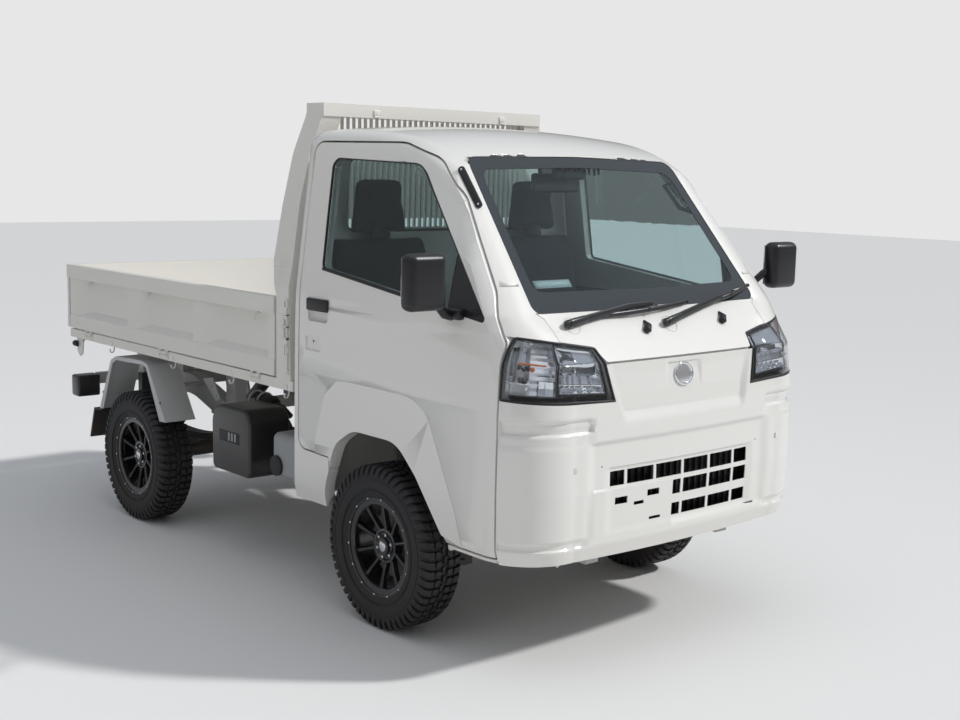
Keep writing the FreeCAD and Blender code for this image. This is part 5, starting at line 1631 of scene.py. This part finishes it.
# %% Dashboard details, door cards, grip, mirror and camera unit
dash = Shape()
dash.rounded((-0.545, -1.40, 1.105), (-0.255, -1.262, 1.178), 0.028, 4)
dash.rounded((-0.125, -1.30, 0.865), (0.125, -1.226, 1.085), 0.016, 3)
dash.rounded((0.20, -1.30, 1.02), (0.60, -1.232, 1.090), 0.016, 3)
piece(dash.object("dash_panels"), "body", "trim_dark", "trim_dark", smooth=40)
vents = Shape()
for x in (-0.58, -0.065, 0.065, 0.55):
    for i in range(5):
        z = 1.030 + 0.010 * i
        vents.block((x - 0.045, -1.2265, z), (x + 0.045, -1.2225, z + 0.005))
vents.rounded((-0.09, -1.229, 0.925), (0.09, -1.2225, 0.995), 0.003, 2)
piece(vents.object("dash_vents"), "body", "black_plastic", "lamp_black", smooth=30)
dials = Shape()
for x in (-0.45, -0.35):
    disc(dials, Vector((x, -1.2635, 1.140)), (0, 1, 0), 0.026, 0.003, sides=32)
piece(dials.object("dash_dials"), "body", "black_plastic", "lamp_black", smooth=40)

for side in (1, -1):
    card = Shape()
    columns = [-1380 + 960 * i / 16 for i in range(17)]
    card.grid([[side_point(y, 800 + 350 * k / 6, 47.5 + (5 if 1 <= k <= 4 else 0)) for y in columns]
               for k in range(7)])
    card.rounded((0.640, -0.98, 0.93), (0.685, -0.62, 0.975), 0.012, 3)
    for_side(card, side, "door_card", "door", "trim_dark", "trim_grey", smooth=40)

grip = Shape()
grip.tube([side_point(-1120, 1612, 46), side_point(-1130, 1602, 78), side_point(-1205, 1516, 80),
           side_point(-1218, 1500, 48)], [9 * MM, 8 * MM, 8 * MM, 9 * MM], sides=12)
piece(grip.object("pillar_grip"), "body", "trim_dark", "trim_grey", smooth=50)

unit = Shape()
top = front_point(0, 1650, 0)
unit.rounded((-0.075, top.y + 0.020, 1.618), (0.045, top.y + 0.085, 1.676), 0.012, 3)
unit.tube([(-0.015, top.y + 0.06, 1.640), (-0.015, top.y + 0.115, 1.612)], 0.007, sides=10)
unit.rounded((-0.135, top.y + 0.108, 1.570), (0.105, top.y + 0.130, 1.640), 0.010, 3)
for i in range(9):
    x = -0.10 + 0.025 * i
    p = front_point(x * 1000, 1652 - 4 * (i % 2), 8.5)
    unit.block((x - 0.006, p.y - 0.001, p.z - 0.014), (x + 0.006, p.y + 0.001, p.z + 0.012))
piece(unit.object("camera_unit"), "body", "black_plastic", "lamp_black", smooth=40)
glass = Shape().rounded((-0.128, top.y + 0.1285, 1.577), (0.098, top.y + 0.1315, 1.633), 0.0012, 2)
piece(glass.object("inner_mirror_pane"), "body", "glass", "mirror_glass", smooth=40)

strip = Shape()
strip.grid([[front_point(-498 + 165 * i / 8, 1266 + 24 * k, 9.2) for i in range(9)] for k in range(2)])
label = strip.object("screen_strip")
sheet = label.modifiers.new("wall", "SOLIDIFY")
sheet.thickness = 0.0006
piece(bake(label), "body", "white_paint", "pale_card", smooth=0)
print("cab inside made")

# %% [markdown]
# ## Fittings of the tipping bed
# Small steel fittings are welded to the bed and painted with it: pegs for the sheet's cord under each gate's
# rail, rope hooks under the sill, an over-centre latch on each front post, brackets on the guard and catches
# at the rear.

# %% Bed fittings
PEG_Y = (1.47, 0.87, 0.43, -0.05)
HOOK_Y = (1.218, 0.62, 0.126, -0.288)


def make_pegs(side):
    pegs = Shape()
    for y in PEG_Y:
        pegs.tube([(0.706, y, 1.086), (0.709, y, 1.068), (0.720, y - 0.004, 1.040)], 3.4 * MM, sides=8)
        pegs.block((0.6965, y - 0.008, 1.068), (0.711, y + 0.008, 1.081))
    tag = "left" if side > 0 else "right"
    if side < 0:
        pegs.flipped_x()
    piece(pegs.object("gate_pegs_" + tag), "gate_" + tag, "bed_paint", "bed_paint", smooth=40)


def make_side_fittings(shape):
    for y in HOOK_Y:
        shape.tube([(0.708, y, 0.800), (0.709, y, 0.772), (0.716, y, 0.760), (0.727, y, 0.762),
                    (0.731, y, 0.777)],
                   3.6 * MM, sides=8)
        shape.block((0.7225, y - 0.012, 0.792), (0.7255, y + 0.012, 0.812))
    for low, high in ((1.420, 1.496), (0.657, 0.748), (-0.104, -0.029)):
        shape.block((0.7225, low, 0.798), (0.7262, high, 0.816))
        for y in (low + 0.014, high - 0.014):
            disc(shape, Vector((0.7258, y, 0.807)), (1, 0, 0), 5 * MM, 3 * MM, sides=6)


def make_latch(shape):
    """The latch that holds a side gate to the post: an eye, a link, a slotted lever, and a rod to a hook."""
    y, x = -0.296, 0.729
    ring_of = [(x, y + 0.011 * math.cos(a), 1.124 + 0.017 * math.sin(a)) for a in
               (2 * math.pi * k / 20 for k in range(20))]
    shape.tube(ring_of, 4.2 * MM, sides=8, closed=True)
    shape.block((0.722, y - 0.006, 1.066), (0.732, y + 0.006, 1.108))
    for edge in (-0.013, 0.008):
        shape.block((0.7225, y + edge, 0.990), (0.7345, y + edge + 0.005, 1.086))
    for z in (0.990, 1.034, 1.080):
        shape.block((0.7225, y - 0.013, z), (0.7345, y + 0.013, z + 0.007))
    disc(shape, Vector((0.722, y - 0.004, 0.980)), (1, 0, 0), 10 * MM, 11 * MM, dome=0.003, sides=20)
    shape.block((0.7225, y - 0.010, 0.928), (0.7335, y - 0.004, 0.972))
    shape.block((0.7225, y + 0.004, 0.928), (0.7335, y + 0.010, 0.972))
    shape.block((0.7225, y - 0.016, 0.938), (0.728, y + 0.020, 0.960))
    shape.tube([(0.729, y - 0.006, 0.958), (0.729, y - 0.008, 0.900), (0.729, y - 0.006, 0.858)], 4.6 * MM,
               sides=10)
    shape.block((0.722, y - 0.016, 0.852), (0.7275, y + 0.006, 0.872))


def make_rear_corner(shape):
    """The bracket under a rear corner and the catch at the tailgate's end. Both ride on the bed, so the
    catch stays where it is when the tailgate drops."""
    shape.prism([(1.594, 0.792), (1.664, 0.792), (1.664, 0.716), (1.640, 0.690), (1.606, 0.704)], 0.686,
                0.691, "x")
    shape.prism([(0.640, 0.792), (0.691, 0.792), (0.691, 0.716), (0.664, 0.742)], 1.660, 1.664, "y")
    shape.rounded((0.688, 1.6885, 1.086), (0.722, 1.6965, 1.124), 0.003, 2)
    shape.tube([(0.705, 1.6925, 1.120), (0.705, 1.6925, 1.040)], 3.8 * MM, sides=10)


fittings = Shape()
make_side_fittings(fittings)
make_latch(fittings)
make_rear_corner(fittings)
fittings.mirror_x()
piece(fittings.object("bed_fittings"), "bed", "bed_paint", "bed_paint", bevel=0.0008, smooth=40)
stub = Shape().tube([(0.694, 1.650, 0.752), (0.694, 1.682, 0.752), (0.694, 1.690, 0.752)],
                    [15 * MM, 15 * MM, 12 * MM],
                    sides=20)
stub.mirror_x()
piece(stub.object("bed_stubs"), "bed", "black_plastic", "flap_rubber", smooth=50)
for side in (1, -1):
    make_pegs(side)

straps = Shape()
for x in (-0.316, 0.343):
    straps.rounded((x - 0.016, -0.3125, 1.850), (x + 0.016, -0.300, 1.872), 0.003, 2)
    straps.tube([(x - 0.011, -0.310, 1.846), (x + 0.011, -0.310, 1.846)], 3 * MM, sides=8)
for x in (-0.722, 0.722):
    end = math.copysign(0.7275, x)
    straps.tube([(x, -0.262, 1.262), (end, -0.262, 1.270), (end, -0.222, 1.270), (x, -0.222, 1.262)],
                3.6 * MM, sides=8)
piece(straps.object("guard_brackets"), "bed", "bed_paint", "bed_paint", smooth=40)
print("bed fittings made")

# %% [markdown]
# ## Under the bed
# The battery box, its window with pale ribs, the lamps on the rear bar, the filter and clamp behind the cab,
# and the bracket and bolts on the mudguards.

# %% Battery box
def make_battery_box():
    loop = rounded_loop([(0.052, 0.364, 0.025), (0.356, 0.364, 0.025), (0.364, 0.648, 0.088),
                         (0.052, 0.648, 0.06)], 8)
    shape = Shape().prism([(p.x, p.y) for p in loop], -0.680, -0.484, "x")
    shape.block((-0.484, 0.13, 0.39), (-0.372, 0.29, 0.425))
    return shape.object("battery_cover")


piece(make_battery_box(), "body", "black_plastic", "box_plastic", bevel=0.012, segments=4, smooth=35,
      replaces=("battery_box",))
WINDOW_Y, WINDOW_Z = (0.131, 0.295), (0.494, 0.543)
frame_shape = Shape().rounded((-0.6808, WINDOW_Y[0], WINDOW_Z[0]), (-0.676, WINDOW_Y[1], WINDOW_Z[1]), 0.002,
                              2)
piece(frame_shape.object("battery_window"), "body", "black_plastic", "seal_rubber", smooth=30)
ribs_shape = Shape()
for y in (0.160, 0.185, 0.210):
    ribs_shape.block((-0.6816, y, WINDOW_Z[0] + 0.008), (-0.679, y + 0.012, WINDOW_Z[1] - 0.006))
piece(ribs_shape.object("battery_ribs"), "body", "grey_plastic", "grey_plastic", bevel=0.0006)
lids = Shape()
for y in (0.10, 0.30):
    lids.block((-0.660, y, 0.3585), (-0.62, y + 0.03, 0.368))
piece(lids.object("battery_feet"), "body", "black_plastic", "black_plastic", smooth=30)

# %% Rear lamps, filter, bracket and bolts
LAMP_LOW, LAMP_HIGH = (0.602, 1.600, 0.492), (0.718, 1.680, 0.598)


def make_rear_lamp(side):
    tag = "left" if side > 0 else "right"

    def add(shape, name, slot, finish, replaces=(), smooth=35):
        if side < 0:
            shape.flipped_x()
        piece(shape.object(name + "_" + tag), "body", slot, finish, smooth=smooth, replaces=replaces)

    add(Shape().rounded(LAMP_LOW, LAMP_HIGH, 0.010, 3), "lamp_case", "black_plastic", "box_plastic",
        replaces=("rear_lamps",) if side > 0 else ())
    x0, x1, z0, z1 = LAMP_LOW[0] + 0.004, LAMP_HIGH[0] - 0.004, LAMP_LOW[2] + 0.006, LAMP_HIGH[2] - 0.006
    thirds = [x0 + (x1 - x0) * k / 3 for k in range(4)]
    for k, (name, slot, finish) in enumerate((("reverse_lens", "lens", "pale_lens"),
                                              ("signal_lens", "lens", "orange_bulb"),
                                              ("stop_lens", "lamp_red", "lamp_red"))):
        lens = Shape().rounded((thirds[k] + 0.001, 1.674, z0), (thirds[k + 1] - 0.001, 1.6915, z1), 0.005, 3)
        for i in range(5):
            z = z0 + (z1 - z0) * (i + 1) / 6
            lens.block((thirds[k] + 0.006, 1.690, z - 0.001), (thirds[k + 1] - 0.006, 1.692, z + 0.001))
        add(lens, name, slot, finish)


for side in (1, -1):
    make_rear_lamp(side)

filter_shape = Shape()
filter_shape.tube([(-0.452, 0.215, 0.632), (-0.452, 0.235, 0.632), (-0.452, 0.330, 0.632),
                   (-0.452, 0.345, 0.632)],
                  [26 * MM, 36 * MM, 36 * MM, 22 * MM], sides=28)
filter_shape.tube([(-0.452, 0.10, 0.60), (-0.452, 0.16, 0.628), (-0.452, 0.22, 0.632)], 13 * MM, sides=12)
filter_shape.tube([(-0.452, 0.34, 0.632), (-0.44, 0.40, 0.61), (-0.42, 0.46, 0.55)], 11 * MM, sides=12)
piece(filter_shape.object("line_filter"), "body", "black_plastic", "black_plastic", smooth=45)
clamp = Shape()
for y in (0.300, 0.366):
    loop = [(-0.452 + 0.040 * math.cos(a), y, 0.632 + 0.040 * math.sin(a)) for a in
            (2 * math.pi * k / 32 for k in range(32))]
    clamp.tube(loop, 5 * MM, sides=8, closed=True)
piece(clamp.object("filter_clamps"), "body", "chassis_paint", "chassis_paint", smooth=50)

plate = Shape().prism([(0.838, 0.664), (0.750, 0.680), (0.683, 0.592), (0.718, 0.574)], -0.455, -0.449, "x")
disc(plate, Vector((-0.455, 0.752, 0.640)), (-1, 0, 0), 0.007, 0.004, sides=6)
disc(plate, Vector((-0.455, 0.712, 0.598)), (-1, 0, 0), 0.007, 0.004, sides=6)
piece(plate.object("rail_plate"), "body", "chassis_paint", "chassis_paint", bevel=0.0008)

canister = Shape()
disc(canister, Vector((-0.639, -0.095, 0.447)), (-1, 0, 0), 0.042, 0.010, dome=0.004, sides=32)
piece(canister.object("cleaner_cap"), "body", "black_plastic", "seal_rubber", smooth=50)

bolts = Shape()
for y, z in ((0.96, 0.7485), (1.16, 0.7405)):
    disc(bolts, Vector((0.640, y, z)), (0, 0, 1), 0.007, 0.004, sides=6)
for y, z in ((0.760, 0.585), (1.332, 0.556)):
    disc(bolts, Vector((0.712, y, z)), (1, 0, 0), 0.005, 0.0035, sides=12)
bolts.mirror_x()
piece(bolts.object("mudguard_bolts"), "body", "black_plastic", "seal_rubber", smooth=40)
print("underside made")
